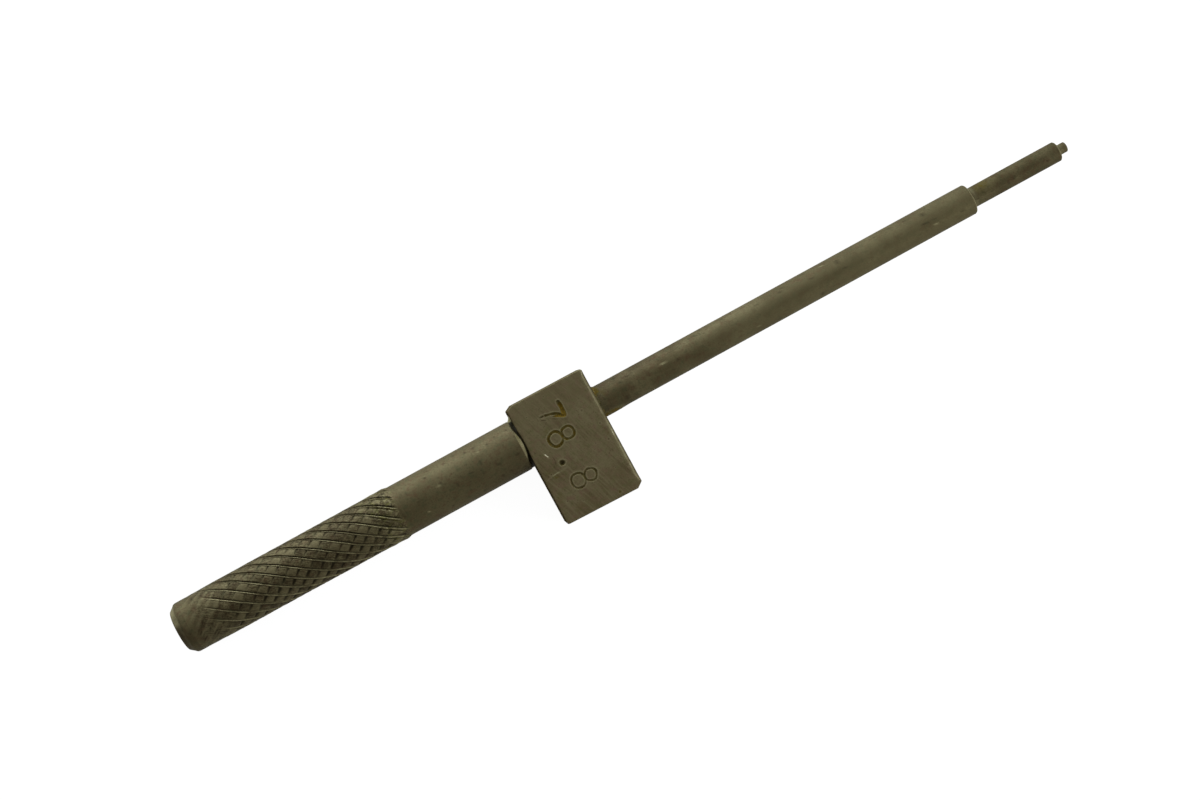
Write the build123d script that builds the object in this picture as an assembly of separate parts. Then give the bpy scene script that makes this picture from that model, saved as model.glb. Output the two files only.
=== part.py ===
from build123d import *
import math
import os

os.makedirs("parts", exist_ok=True)

# ---------------------------------------------------------------------------
# Injector height gauge: one turned spindle (knurled grip, rod, shouldered pilot, nib) and a ground
# steel block brazed on it. Millimetres. The working frame below has X along the spindle, from the
# grip's end towards the nib, and Z square to the block's stamped face. The last section rolls the
# whole gauge a little about X, so that it lies as it comes to rest.
# ---------------------------------------------------------------------------

# spindle
GRIP_R = 4.80            # plain grip, and the blank that the knurl was rolled on
GRIP_END = 69.60         # the grip's inner end, where the block's back face seats
END_FACE_R = 3.80        # flat of the free end, inside its chamfer
END_CHAMFER_X = 1.27     # axial length of that chamfer
END_ROUND = 0.90         # rounding from the chamfer into the grip
GRIP_INNER_CHAMFER = 0.65
ROD_R = 2.90
GAUGE_LENGTH = 78.80     # block's gauging face to the rod's shoulder
ROD_BREAK = 0.20
PILOT_R = 1.85
PILOT_LENGTH = 18.97
PILOT_BREAK = 0.25
NIB_R = 0.95
NIB_LENGTH = 1.83
NIB_BREAK = 0.18

# block
BLOCK_X = 15.30          # along the spindle
BLOCK_HALF_Z = 4.22      # half the thickness, thinner than the grip
BLOCK_TOP_Y0 = 6.98      # near end, at the back face
BLOCK_TOP_Y1 = 6.84      # near end, at the gauging face: the ends are ground a little out of square
BLOCK_FAR_Y0 = -16.52    # far end, at the back face
BLOCK_FAR_Y1 = -16.86    # far end, at the gauging face
BORE_R = 2.93            # slip fit on the rod, filled by the braze at both ends
CORNER_A = (1.18, 0.80)  # back, near end: a large chamfer (along X, along Y)
CORNER_B = (1.18, 0.90)  # gauging face, far end
CORNER_C = 0.42          # back, far end
CORNER_D = 0.30          # gauging face, near end
EDGE_BREAK = 0.15
GAUGE_EDGE_BREAK = 0.38  # top edge of the gauging face

# stamped size
STAMP_DEPTH = 0.16
STAMP_STROKE = 0.27
DOT_R = 0.42
DOT_DEPTH = 0.45

# braze
BRAZE_NEAR_R = 6.05      # reach of the back bead up the block's face, near side
BRAZE_FAR_R = 4.95       # the same on the far side, almost flush with the grip
BRAZE_BACK_HALF_Z = 4.05
BRAZE_FRONT_R = 3.38     # top of the front fillet, at the gauging face
BRAZE_FRONT_X = 0.70     # its run along the rod
SINK_R = 3.45            # mouth of the bore's countersink, which holds the front braze
SINK_DEPTH = 0.50

x0 = GRIP_END
x1 = GRIP_END + BLOCK_X
x_shoulder = x1 + GAUGE_LENGTH
x_pilot = x_shoulder + PILOT_LENGTH
x_nib = x_pilot + NIB_LENGTH


def turned(points_and_arcs):
    """A solid of revolution about X from a closed half section given as (x, r) edges."""
    wire = Wire(points_and_arcs)
    face = Face(wire)
    return revolve(face, Axis.X, 360)


def line(a, b):
    return Line((a[0], a[1], 0), (b[0], b[1], 0)).edge()


def arc(a, m, b):
    return ThreePointArc((a[0], a[1], 0), (m[0], m[1], 0), (b[0], b[1], 0)).edge()


# ---- spindle ---------------------------------------------------------------
# rounding between the end chamfer and the grip: tangent to both
slope = math.atan2(GRIP_R - END_FACE_R, END_CHAMFER_X)
tangent = END_ROUND * math.tan(slope / 2)
corner = (END_CHAMFER_X, GRIP_R)
p_in = (corner[0] - tangent * math.cos(slope), corner[1] - tangent * math.sin(slope))
p_out = (corner[0] + tangent, GRIP_R)
centre = (p_out[0], GRIP_R - END_ROUND)
half = math.pi / 2 + slope / 2
p_mid = (centre[0] + END_ROUND * math.cos(half), centre[1] + END_ROUND * math.sin(half))

c = GRIP_INNER_CHAMFER
profile = [
    line((0, 0), (0, END_FACE_R)),
    line((0, END_FACE_R), p_in),
    arc(p_in, p_mid, p_out),
    line(p_out, (x0 - c, GRIP_R)),
    line((x0 - c, GRIP_R), (x0, GRIP_R - c)),
    line((x0, GRIP_R - c), (x0, ROD_R)),
    line((x0, ROD_R), (x_shoulder - ROD_BREAK, ROD_R)),
    line((x_shoulder - ROD_BREAK, ROD_R), (x_shoulder, ROD_R - ROD_BREAK)),
    line((x_shoulder, ROD_R - ROD_BREAK), (x_shoulder, PILOT_R)),
    line((x_shoulder, PILOT_R), (x_pilot - PILOT_BREAK, PILOT_R)),
    line((x_pilot - PILOT_BREAK, PILOT_R), (x_pilot, PILOT_R - PILOT_BREAK)),
    line((x_pilot, PILOT_R - PILOT_BREAK), (x_pilot, NIB_R)),
    line((x_pilot, NIB_R), (x_nib - NIB_BREAK, NIB_R)),
    line((x_nib - NIB_BREAK, NIB_R), (x_nib, NIB_R - NIB_BREAK)),
    line((x_nib, NIB_R - NIB_BREAK), (x_nib, 0)),
    line((x_nib, 0), (0, 0)),
]
spindle = turned(profile)

# ---- gauge block -----------------------------------------------------------


def y_far(x):
    return BLOCK_FAR_Y0 + (BLOCK_FAR_Y1 - BLOCK_FAR_Y0) * (x - x0) / BLOCK_X


def y_near(x):
    return BLOCK_TOP_Y0 + (BLOCK_TOP_Y1 - BLOCK_TOP_Y0) * (x - x0) / BLOCK_X


outline = [
    (x0, BLOCK_TOP_Y0 - CORNER_A[1]),
    (x0 + CORNER_A[0], y_near(x0 + CORNER_A[0])),
    (x1 - CORNER_D, y_near(x1 - CORNER_D)),
    (x1, BLOCK_TOP_Y1 - CORNER_D),
    (x1, BLOCK_FAR_Y1 + CORNER_B[1]),
    (x1 - CORNER_B[0], y_far(x1 - CORNER_B[0])),
    (x0 + CORNER_C, y_far(x0 + CORNER_C)),
    (x0, BLOCK_FAR_Y0 + CORNER_C),
]
block_face = Face(Polyline(*[(px, py, 0) for px, py in outline], close=True).wire())
block = Pos(0, 0, -BLOCK_HALF_Z) * extrude(block_face, 2 * BLOCK_HALF_Z, dir=(0, 0, 1))

# light break all round both broad faces, and a wider one where the gauging face meets the top
gauge_edge = []
other_edges = []
for edge in block.edges():
    mid = edge.center()
    flat = abs(abs(mid.Z) - BLOCK_HALF_Z) < 1e-4
    if flat and mid.Z > 0 and abs(mid.X - x1) < 1e-3:
        gauge_edge.append(edge)
    elif flat:
        other_edges.append(edge)
block = chamfer(other_edges, EDGE_BREAK)
gauge_edge = [e for e in block.edges() if e.center().Z > BLOCK_HALF_Z - 1e-3 and abs(e.center().X - x1) < 1e-3]
block = chamfer(gauge_edge, GAUGE_EDGE_BREAK)

bore = Pos(x0 - 1, 0, 0) * Rot(0, 90, 0) * Cylinder(BORE_R, BLOCK_X + 2, align=(Align.CENTER, Align.CENTER, Align.MIN))
block -= bore
sink = turned([
    line((x1 - SINK_DEPTH, 0), (x1 - SINK_DEPTH, BORE_R)),
    line((x1 - SINK_DEPTH, BORE_R), (x1, SINK_R)),
    line((x1, SINK_R), (x1 + 1, SINK_R)),
    line((x1 + 1, SINK_R), (x1 + 1, 0)),
    line((x1 + 1, 0), (x1 - SINK_DEPTH, 0)),
])
block -= sink

# the size, stamped: read with the pilot upwards, so its height runs along +X and it reads towards -Y
top = BLOCK_HALF_Z


def ring(cx, cy, rx, ry):
    w = STAMP_STROKE / 2
    band = Ellipse(rx + w, ry + w) - Ellipse(rx - w, ry - w)
    return Pos(cx, cy, top - STAMP_DEPTH) * extrude(band, STAMP_DEPTH + 1)


def stroke(a, b, w):
    """One straight run of a stamped stroke, round at both ends."""
    run = math.hypot(b[0] - a[0], b[1] - a[1])
    turn = math.degrees(math.atan2(b[1] - a[1], b[0] - a[0]))
    slot = SlotCenterToCenter(run, w)
    return Pos((a[0] + b[0]) / 2, (a[1] + b[1]) / 2, top - STAMP_DEPTH) * Rot(0, 0, turn) * extrude(slot, STAMP_DEPTH + 1)


EIGHTS = ((75.01, 77.62, -2.09), (75.06, 77.58, -10.60))  # x of the large and small loop, y of both
for xa, xb, ye in EIGHTS:
    block -= ring(xa, ye, 1.31, 1.40)
    block -= ring(xb, ye, 1.14, 1.20)

SEVEN = (
    (78.55, 3.42), (78.60, 2.10), (78.62, 0.84), (77.71, 1.13), (76.94, 1.70),
    (76.43, 2.08), (75.92, 2.39), (75.40, 2.54), (74.89, 2.64), (74.33, 2.69),
)
for a, b in zip(SEVEN[:-1], SEVEN[1:]):
    block -= stroke(a, b, STAMP_STROKE)

dot = Pos(73.97, -6.32, top - DOT_DEPTH) * Cone(DOT_R * 0.55, DOT_R, DOT_DEPTH + 0.001, align=(Align.CENTER, Align.CENTER, Align.MIN))
block -= dot

# ---- braze -----------------------------------------------------------------
# back: one bead on each side fills the groove between the grip's chamfer and the block. The groove is
# open where the grip stands above the block's broad faces, so there are two beads and not a ring.
near_window = Pos(x0, 10, 0) * Box(4, 20, 2 * BRAZE_BACK_HALF_Z)
far_window = Pos(x0, -10, 0) * Box(4, 20, 2 * BRAZE_BACK_HALF_Z)
braze_near = turned([
    line((x0 - c, GRIP_R), (x0, GRIP_R - c)),
    line((x0, GRIP_R - c), (x0, BRAZE_NEAR_R)),
    arc((x0, BRAZE_NEAR_R), (x0 - 0.22, GRIP_R + 0.57), (x0 - c, GRIP_R)),
]) & near_window
braze_far = turned([
    line((x0 - c, GRIP_R), (x0, GRIP_R - c)),
    line((x0, GRIP_R - c), (x0, BRAZE_FAR_R)),
    line((x0, BRAZE_FAR_R), (x0 - c, GRIP_R)),
]) & far_window

# front: fills the bore's countersink and runs out on the rod as a small fillet. It stays inside the
# countersink's mouth, so the gauging face itself is clear.
braze_front = turned([
    line((x1 - SINK_DEPTH, ROD_R), (x1 - SINK_DEPTH, BORE_R)),
    line((x1 - SINK_DEPTH, BORE_R), (x1, SINK_R)),
    line((x1, SINK_R), (x1, BRAZE_FRONT_R)),
    line((x1, BRAZE_FRONT_R), (x1 + 0.24, ROD_R + 0.20)),
    line((x1 + 0.24, ROD_R + 0.20), (x1 + BRAZE_FRONT_X, ROD_R + 0.04)),
    line((x1 + BRAZE_FRONT_X, ROD_R + 0.04), (x1 + BRAZE_FRONT_X, ROD_R)),
    line((x1 + BRAZE_FRONT_X, ROD_R), (x1 - SINK_DEPTH, ROD_R)),
])

# ---- lying at rest ---------------------------------------------------------
# The gauge lies on the grip's lowest line and on the lower edge of the block's far end, so it is rolled
# about X until that edge is as low as the grip. The lowest corner of the edge is next to its chamfer.
edge_y = y_far(x1 - CORNER_B[0]) + EDGE_BREAK
edge_z = -BLOCK_HALF_Z
reach = math.hypot(edge_y, edge_z)
roll = math.degrees(math.asin(GRIP_R / reach) - math.atan2(-edge_z, -edge_y))

nodes = {
    "spindle": spindle,
    "gauge_block": block,
    "braze_near": braze_near,
    "braze_far": braze_far,
    "braze_front": braze_front,
}
placed = {}
for name, shape in nodes.items():
    (solid,) = shape.solids()
    placed[name] = Pos(0, 0, GRIP_R) * (Rot(roll, 0, 0) * solid)

low = [1e9, 1e9, 1e9]
high = [-1e9, -1e9, -1e9]
for shape in placed.values():
    bb = shape.bounding_box()
    for i, (a, b) in enumerate(zip((bb.min.X, bb.min.Y, bb.min.Z), (bb.max.X, bb.max.Y, bb.max.Z))):
        low[i] = min(low[i], a)
        high[i] = max(high[i], b)
shift = (-(low[0] + high[0]) / 2, -(low[1] + high[1]) / 2, -low[2])
print("roll %.4f deg" % roll)
print("shift %.4f %.4f %.4f" % shift)
print("box", [round(high[i] - low[i], 3) for i in range(3)])

for name, shape in placed.items():
    out = Pos(*shift) * shape
    print(name, "volume %.2f" % out.volume, "valid", out.is_valid)
    export_step(out, "parts/" + name + ".step")
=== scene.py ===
import math

import bmesh
import bpy
import numpy as np
from mathutils import Matrix, Vector
from mathutils.geometry import delaunay_2d_cdt


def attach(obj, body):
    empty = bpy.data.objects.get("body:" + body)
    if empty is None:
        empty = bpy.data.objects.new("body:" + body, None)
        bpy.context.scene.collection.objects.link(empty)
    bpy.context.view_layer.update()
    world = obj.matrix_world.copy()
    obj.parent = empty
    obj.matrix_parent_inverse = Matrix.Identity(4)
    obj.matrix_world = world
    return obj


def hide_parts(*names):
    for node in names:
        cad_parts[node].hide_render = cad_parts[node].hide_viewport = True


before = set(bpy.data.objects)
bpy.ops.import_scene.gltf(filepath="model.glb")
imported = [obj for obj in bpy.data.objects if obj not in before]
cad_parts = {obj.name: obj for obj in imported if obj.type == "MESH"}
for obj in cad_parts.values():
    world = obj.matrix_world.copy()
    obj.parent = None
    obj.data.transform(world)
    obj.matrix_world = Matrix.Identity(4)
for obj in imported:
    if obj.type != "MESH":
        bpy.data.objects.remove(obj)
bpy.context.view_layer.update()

# ---------------------------------------------------------------------------
# Everything below is measured in millimetres in the gauge's own axes: X along the spindle from the
# grip's end towards the nib, Z square to the stamped face. place() rolls it onto the floor as the
# frame lies, and turns it into metres.
# ---------------------------------------------------------------------------
GRIP_R, END_R, ROD_R, PILOT_R, NIB_R = 4.84, 3.84, 2.95, 1.93, 0.99
X0, X1 = 69.60, 84.90
XS, XP, XN = 163.70, 182.67, 184.50
HALF_Z = 4.22
ROLL = math.radians(2.0011)
SHIFT = np.array((-92.25, 4.9293, 4.80))
TAU = 2 * math.pi


def place(p):
    p = np.asarray(p, float)
    c, s = math.cos(ROLL), math.sin(ROLL)
    out = np.empty_like(p)
    out[:, 0] = p[:, 0]
    out[:, 1] = c * p[:, 1] - s * p[:, 2]
    out[:, 2] = s * p[:, 1] + c * p[:, 2]
    return (out + SHIFT) * 0.001


# ---- seeded noise ----------------------------------------------------------
def hash01(ix, iy, iz, seed):
    h = (ix.astype(np.int64) * 374761393 + iy.astype(np.int64) * 668265263
         + iz.astype(np.int64) * 1440662683 + seed * 1274126177) & 0xFFFFFFFF
    h = ((h ^ (h >> 13)) * 1274126177) & 0xFFFFFFFF
    h = ((h ^ (h >> 15)) * 2246822519) & 0xFFFFFFFF
    h = h ^ (h >> 16)
    return (h & 0xFFFFFF) / float(0xFFFFFF)


def noise(x, y, z, seed=0):
    """Smooth value noise, -1 to 1."""
    x, y, z = np.broadcast_arrays(np.asarray(x, float), np.asarray(y, float), np.asarray(z, float))
    ix, iy, iz = np.floor(x), np.floor(y), np.floor(z)
    fx, fy, fz = x - ix, y - iy, z - iz
    ux, uy, uz = (f * f * (3 - 2 * f) for f in (fx, fy, fz))
    out = 0
    for dx in (0, 1):
        for dy in (0, 1):
            for dz in (0, 1):
                w = (ux if dx else 1 - ux) * (uy if dy else 1 - uy) * (uz if dz else 1 - uz)
                out = out + w * hash01(ix + dx, iy + dy, iz + dz, seed)
    return out * 2 - 1


def fbm(x, y, z, seed=0, octaves=3):
    out, amp, total = 0, 1.0, 0.0
    for k in range(octaves):
        out = out + amp * noise(np.asarray(x) * 2 ** k, np.asarray(y) * 2 ** k, np.asarray(z) * 2 ** k, seed + 17 * k)
        total += amp
        amp *= 0.5
    return out / total


def step(a, b, x):
    t = np.clip((np.asarray(x, float) - a) / (b - a), 0, 1)
    return t * t * (3 - 2 * t)


def bump(x, centre, width):
    return np.exp(-((np.asarray(x, float) - centre) / width) ** 2)


# ---- mesh plumbing ---------------------------------------------------------
# These carry painted light as well. The first darkens colour for dirt, and also as painted shade in grooves, gaps and
# on walls away from the light. The third lightens it for wear, and also as painted highlights on faces turned to the
# light. The fourth holds random tone, and also painted shading: darker on the side away from the key light, and lighter
# or darker along the piece.
ATTRS = ("cavity", "rust", "worn", "tone")


class Shell:
    """Vertices in the gauge's own millimetres with their finish values, and faces."""

    def __init__(self):
        self.co, self.attr, self.flow, self.faces, self.n = [], {a: [] for a in ATTRS}, [], [], 0

    def add(self, co, flow=None, **attr):
        co = np.asarray(co, float).reshape(-1, 3)
        self.co.append(co)
        self.flow.append(np.zeros_like(co) if flow is None else np.asarray(flow, float))
        for a in ATTRS:
            v = attr.get(a, 0.0)
            self.attr[a].append(np.broadcast_to(np.asarray(v, float), (len(co),)).copy())
        ids = np.arange(self.n, self.n + len(co))
        self.n += len(co)
        return ids

    def points(self):
        return np.concatenate(self.co)

    def build(self, name, crease=38.0, weld=0.0):
        co = self.points()
        mesh = bpy.data.meshes.new(name)
        mesh.from_pydata([tuple(p) for p in place(co)], [], [tuple(int(i) for i in f) for f in self.faces])
        for a in ATTRS:
            layer = mesh.attributes.new(a, "FLOAT", "POINT")
            layer.data.foreach_set("value", np.concatenate(self.attr[a]).astype(np.float32))
        for a, v in (("own", co), ("flow", np.concatenate(self.flow))):
            layer = mesh.attributes.new(a, "FLOAT_VECTOR", "POINT")
            layer.data.foreach_set("vector", v.astype(np.float32).ravel())
        bm = bmesh.new()
        bm.from_mesh(mesh)
        if weld:
            bmesh.ops.remove_doubles(bm, verts=bm.verts, dist=weld)
        loose = [v for v in bm.verts if not v.link_faces]
        if loose:
            bmesh.ops.delete(bm, geom=loose, context="VERTS")
        bmesh.ops.recalc_face_normals(bm, faces=bm.faces)
        bm.to_mesh(mesh)
        bm.free()
        mesh.polygons.foreach_set("use_smooth", [True] * len(mesh.polygons))
        mesh.set_sharp_from_angle(angle=math.radians(crease))
        mesh.update()
        obj = bpy.data.objects.new(name, mesh)
        bpy.context.scene.collection.objects.link(obj)
        return obj


def bridge(shell, a, b, ta, tb):
    """Triangles between two closed loops of vertices; ta and tb are their angles, each rising through one turn."""
    oa, ob = np.argsort(ta % TAU, kind="stable"), np.argsort(tb % TAU, kind="stable")
    a, ta = a[oa], (ta % TAU)[oa]
    b, tb = b[ob], (tb % TAU)[ob]
    i = j = 0
    na, nb = len(a), len(b)
    while i < na or j < nb:
        nxt_a = ta[(i + 1) % na] + (TAU if i + 1 >= na else 0) if i < na else 1e9
        nxt_b = tb[(j + 1) % nb] + (TAU if j + 1 >= nb else 0) if j < nb else 1e9
        if nxt_a <= nxt_b:
            shell.faces.append((a[i % na], a[(i + 1) % na], b[j % nb]))
            i += 1
        else:
            shell.faces.append((a[i % na], b[(j + 1) % nb], b[j % nb]))
            j += 1


def round_points(X, th, r):
    """X along the spindle, th from +Z towards -Y."""
    return np.stack([X + 0 * th, -r * np.sin(th), r * np.cos(th)], -1)


class Turned:
    """Rings of a turned surface added one after another and joined."""

    def __init__(self, shell):
        self.shell, self.last = shell, None

    def ring(self, X, r, n, finish=None, shape=None):
        th = np.arange(n) * TAU / n
        Xv, rv = np.full(n, float(X)), np.full(n, float(r))
        if shape is not None:
            Xv, rv = shape(Xv, th, rv)
        attr = finish(Xv, th, rv) if finish else {}
        ids = self.shell.add(round_points(Xv, th, rv), **attr)
        self.join(ids, th)
        return ids

    def join(self, ids, th):
        if self.last is not None:
            a, ta = self.last
            if len(a) == len(ids) and np.allclose(ta, th):
                n = len(a)
                for k in range(n):
                    self.shell.faces.append((a[k], a[(k + 1) % n], ids[(k + 1) % n], ids[k]))
            else:
                bridge(self.shell, a, ids, ta, th)
        self.last = (ids, th)

    def tip(self, X, **attr):
        (v,) = self.shell.add([(X, 0, 0)], **attr)
        a, _ = self.last
        n = len(a)
        for k in range(n):
            self.shell.faces.append((a[k], a[(k + 1) % n], v))
        self.last = None


# ---------------------------------------------------------------------------
# Spindle
# ---------------------------------------------------------------------------
# The knurl is two families of rolled grooves of opposite hand. A family's phase is a whole number at
# the bottom of each groove: 14 starts one way and 13 the other, so the cells are a little askew.
F1, F2, N1, N2 = 0.3265, 0.3595, 14, 13
C1, C2 = 0.0, 0.0
K_LEFT, K_RIGHT = 2.45, 45.10
PITCH1 = 1.0 / math.hypot(F1, N1 / (TAU * GRIP_R))
PITCH2 = 1.0 / math.hypot(F2, N2 / (TAU * GRIP_R))


def phases(X, th):
    return F1 * X - N1 * th / TAU + C1, -F2 * X - N2 * th / TAU + C2


def from_phases(p1, p2):
    det = N2 * F1 + N1 * F2
    a, b = p1 - C1, p2 - C2
    return (N2 * a - N1 * b) / det, -(F1 * b + F2 * a) / det * TAU


# the groove lines are where the photograph has them: the bottom of a "\" groove crosses the top of the
# grip at X_ONE, and a "/" groove at X_TWO
X_ONE, X_TWO = 24.20, 27.16
C1, C2 = -F1 * X_ONE, F2 * X_TWO


def pad_number(c1, c2, seed):
    """A number from 0 to 1 for each pad between the grooves, the same from whichever turn it is counted."""
    return hash01(13 * c1 - 14 * c2, np.mod(c1, 14), 0 * c1, seed)


def wander(X, th):
    """How far the grooves stray from a perfect lattice, in phase."""
    y, z = -GRIP_R * np.sin(th), GRIP_R * np.cos(th)
    n1 = 0.030 * fbm(X * 0.45, y * 0.45, z * 0.45, 3) + 0.010 * noise(X * 1.9, y * 1.9, z * 1.9, 4)
    return n1, 0.055 * fbm(X * 0.55, y * 0.55, z * 0.55, 8)


def knurl(X, th):
    """Radius and finish of the knurled band."""
    p1, p2 = phases(X, th)
    y, z = -GRIP_R * np.sin(th), GRIP_R * np.cos(th)
    n1, n2 = wander(X, th)
    p1, p2 = p1 + n1, p2 + n2
    l1, l2 = np.round(p1), np.round(p2)
    d1, d2 = (p1 - l1) * PITCH1, (p2 - l2) * PITCH2
    c1, c2 = np.floor(p1), np.floor(p2)
    f1 = p1 - c1
    m1, m2, o = np.mod(l1, N1), np.mod(l2, N2), 0 * l1
    wob = fbm(X * 1.1, y * 1.1, z * 1.1, 5)
    rough = fbm(X * 3.3, y * 3.3, z * 3.3, 6)
    late = step(37.0, 42.5, X)  # towards the block the roll dug in harder and stepped
    # each groove starts slowly and stops at its own place
    start1, stop1 = 4.4 + 2.3 * hash01(m1, o, o, 21), 43.75 + 0.75 * hash01(m1, o, o, 31)
    e1 = step(start1, start1 + 2.6, X) * (1 - step(stop1 - 0.45, stop1, X))
    grow = 0.34 + 0.66 * step(5.5, 15.0, X)
    start2, stop2 = 6.4 + 2.2 * hash01(m2, o, o, 22), 42.2 + 1.4 * hash01(m2, o, o, 32)
    e2 = step(start2, start2 + 4.5, X) * (1 - step(stop2 - 1.2, stop2, X))
    # "\" groove: far wall in shade, narrow bottom, steep wall, then a thin burr and a fine line behind it
    wall, far = 0.205, 0.145
    depth1 = (0.255 + 0.035 * wob) * grow
    v1 = np.where(d1 < 0, 1 + d1 / wall, 1 - d1 / far)
    g1 = np.clip(v1, 0, 1) * e1
    burr = bump(d1, -(wall + 0.045), 0.062) * (0.75 + 0.35 * wob)
    behind = bump(d1, -(wall + 0.190), 0.066) * (0.8 + 0.5 * wob)
    # "/" groove: struck second, so it lives on the pads only, deepest under the burr
    across = step(0.08, 0.19, f1) * (1 - step(0.770, 0.835, f1))
    own_depth = 0.30 + 0.85 * pad_number(c1, l2, 53)
    deep = step(-0.15, 0.40, th) * (1 - step(1.7, 2.3, th)) + step(0.0, 0.5, noise(X * 0.12, y * 0.3, z * 0.3, 54)) * (np.abs(th) > 1.7)
    fall = 0.40 + 0.32 * deep + (0.60 - 0.32 * deep) * step(0.20, 0.74, f1)
    w2 = (0.125 + 0.075 * step(0.30, 0.76, f1)) * (1 + 0.30 * deep)
    g2 = np.clip(1.25 + 0.35 * deep - np.abs(d2) / w2, 0, 1) * e2 * across
    depth2 = 0.150 * own_depth * fall * (1 + 0.35 * wob) * (1 + 0.5 * deep)
    # pads: a slight crown, a tilt of their own, and the band as a whole stands proud of the plain grip
    edge = 43.45 + 0.55 * noise(0.0, y * 0.8, z * 0.8, 47) + 0.35 * hash01(np.mod(c1, N1), o, o, 33)
    body = step(3.8, 9.5, X) * (1 - step(edge, edge + 0.95, X))
    lift = 0.070 + 0.040 * step(20, 34, X) + 0.045 * step(37.5, 42.0, X) + 0.016 * wob + 0.012 * noise(X * 0.35, y * 0.2, z * 0.2, 9)
    crown = 0.030 * np.sin(np.pi * np.clip(f1 / 0.80, 0, 1)) * np.clip(np.abs(d2) / (PITCH2 / 2), 0, 1) ** 0.5
    tilt = pad_number(c1, c2, 52) * 2 - 1
    r = GRIP_R + body * (lift + crown * (1 - 0.4 * late) + 0.014 * tilt * (f1 - 0.45) * 2 + 0.006 * rough)
    r = r + e1 * (0.034 * burr * (1 + 1.1 * late) * (0.5 + 0.5 * grow) - 0.058 * behind * grow)
    # towards the block the burr is thick and beaded, and a second one stands behind it
    beads = 0.72 + 0.80 * noise(p2 * 3.4, m1 * 3.7, 0.0, 45) + 0.35 * rough
    stop3 = 43.2 + 1.0 * hash01(m1, o, o, 34)
    e3 = step(37.8, 41.2, X) * (1 - step(stop3 - 0.5, stop3, X)) * step(-0.55, 0.05, noise(X * 0.35, y * 0.45, z * 0.45, 41))
    r = r + late * e1 * 0.055 * bump(d1, -0.36, 0.12) * np.clip(beads, 0, 1.3)
    g3 = bump(d1, -0.575, 0.082) * e3
    r = r + e3 * 0.070 * bump(d1, -0.77, 0.115) * np.clip(beads, 0, 1.2) - 0.150 * g3
    cut = np.maximum(depth1 * g1 * (1 + 0.2 * late), depth2 * g2)
    r = r - cut
    # before the roll bites: soft slanting waves, and fine touches along the lower side
    q5 = p2 * 16 / 13
    e5 = step(2.6, 4.2, X) * (1 - step(6.8, 10.5, X)) * (0.55 + 0.45 * noise(X * 0.35, y * 0.35, z * 0.35, 48))
    wave = np.cos(TAU * q5)
    r = r + 0.026 * e5 * wave * (1 - 0.6 * g1)
    q4 = p2 * 40 / 13
    d4 = np.abs(q4 - np.round(q4))
    low = np.maximum(step(-0.20, 0.05, th) * (1 - step(0.62, 0.90, th)), step(0.1, 0.5, noise(X * 0.3, y * 0.35, z * 0.35, 49)) * (np.abs(th) > 1.2))
    e4 = step(2.7, 3.4, X) * (1 - step(5.6, 7.6, X)) * low * (0.6 + 0.4 * noise(q4 * 0.8, X * 0.8, 0.0, 50))
    g4 = np.clip(1 - d4 / 0.26, 0, 1) * e4
    r = r - 0.045 * g4
    pad = (1 - np.clip(g1 * 2.5, 0, 1)) * (1 - np.clip(g2 * 1.6, 0, 1))
    # quiet calms the pads' colour and the painted groove shade on the +Y side, which faces the key light. By the free
    # end, the colour is painted darker on the -Y side as shade, and it is also darker in a band along the +Y side.
    quiet = 0.58 + 0.50 * step(-1.0, -0.2, th)
    speck = noise(X * 2.7, y * 2.7, z * 2.7, 7)
    tone = 0.10 + ((pad_number(c1, c2, 51) * 2 - 1) * body + 0.55 * wob) * quiet
    tone = tone - 0.42 * (1 - step(3.5, 9.0, X)) * step(-0.25, 0.5, np.sin(th)) + 0.55 * late * speck * body
    tone = tone - 0.40 * (1 - step(5.5, 9.5, X)) * step(-0.70, -0.86, np.sin(th))
    # Painted shade: the groove's bottom and far wall, the fine line behind the burr and the second groove are darkened
    # in colour. The darkening is stronger on the -Y side, away from the key light, and weaker on the +Y side, which
    # faces it. Only part of it is dirt packed in the grooves.
    shade = np.where(d1 < 0, np.clip(1 + d1 / (wall * (0.40 + 0.30 * late)), 0, 1), np.clip(1.25 - d1 / (far * (1 + 0.7 * late)), 0, 1)) * e1
    cavity = np.maximum(shade * (0.45 + 0.55 * grow) * (0.90 - 0.10 * late) * (0.55 + 0.45 * quiet), g2 * (0.40 + 0.55 * own_depth) * fall * (1 + 0.45 * deep))
    cavity = np.maximum(cavity, e1 * behind * grow * (0.62 + 0.45 * late))
    cavity = cavity + 1.0 * g3 + 0.50 * g4 + 0.30 * e5 * np.clip(-wave, 0, 1) * (1 - g1)
    glint = noise(p2 * 2.3, m1 * 5.1, 0.0, 46)
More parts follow.
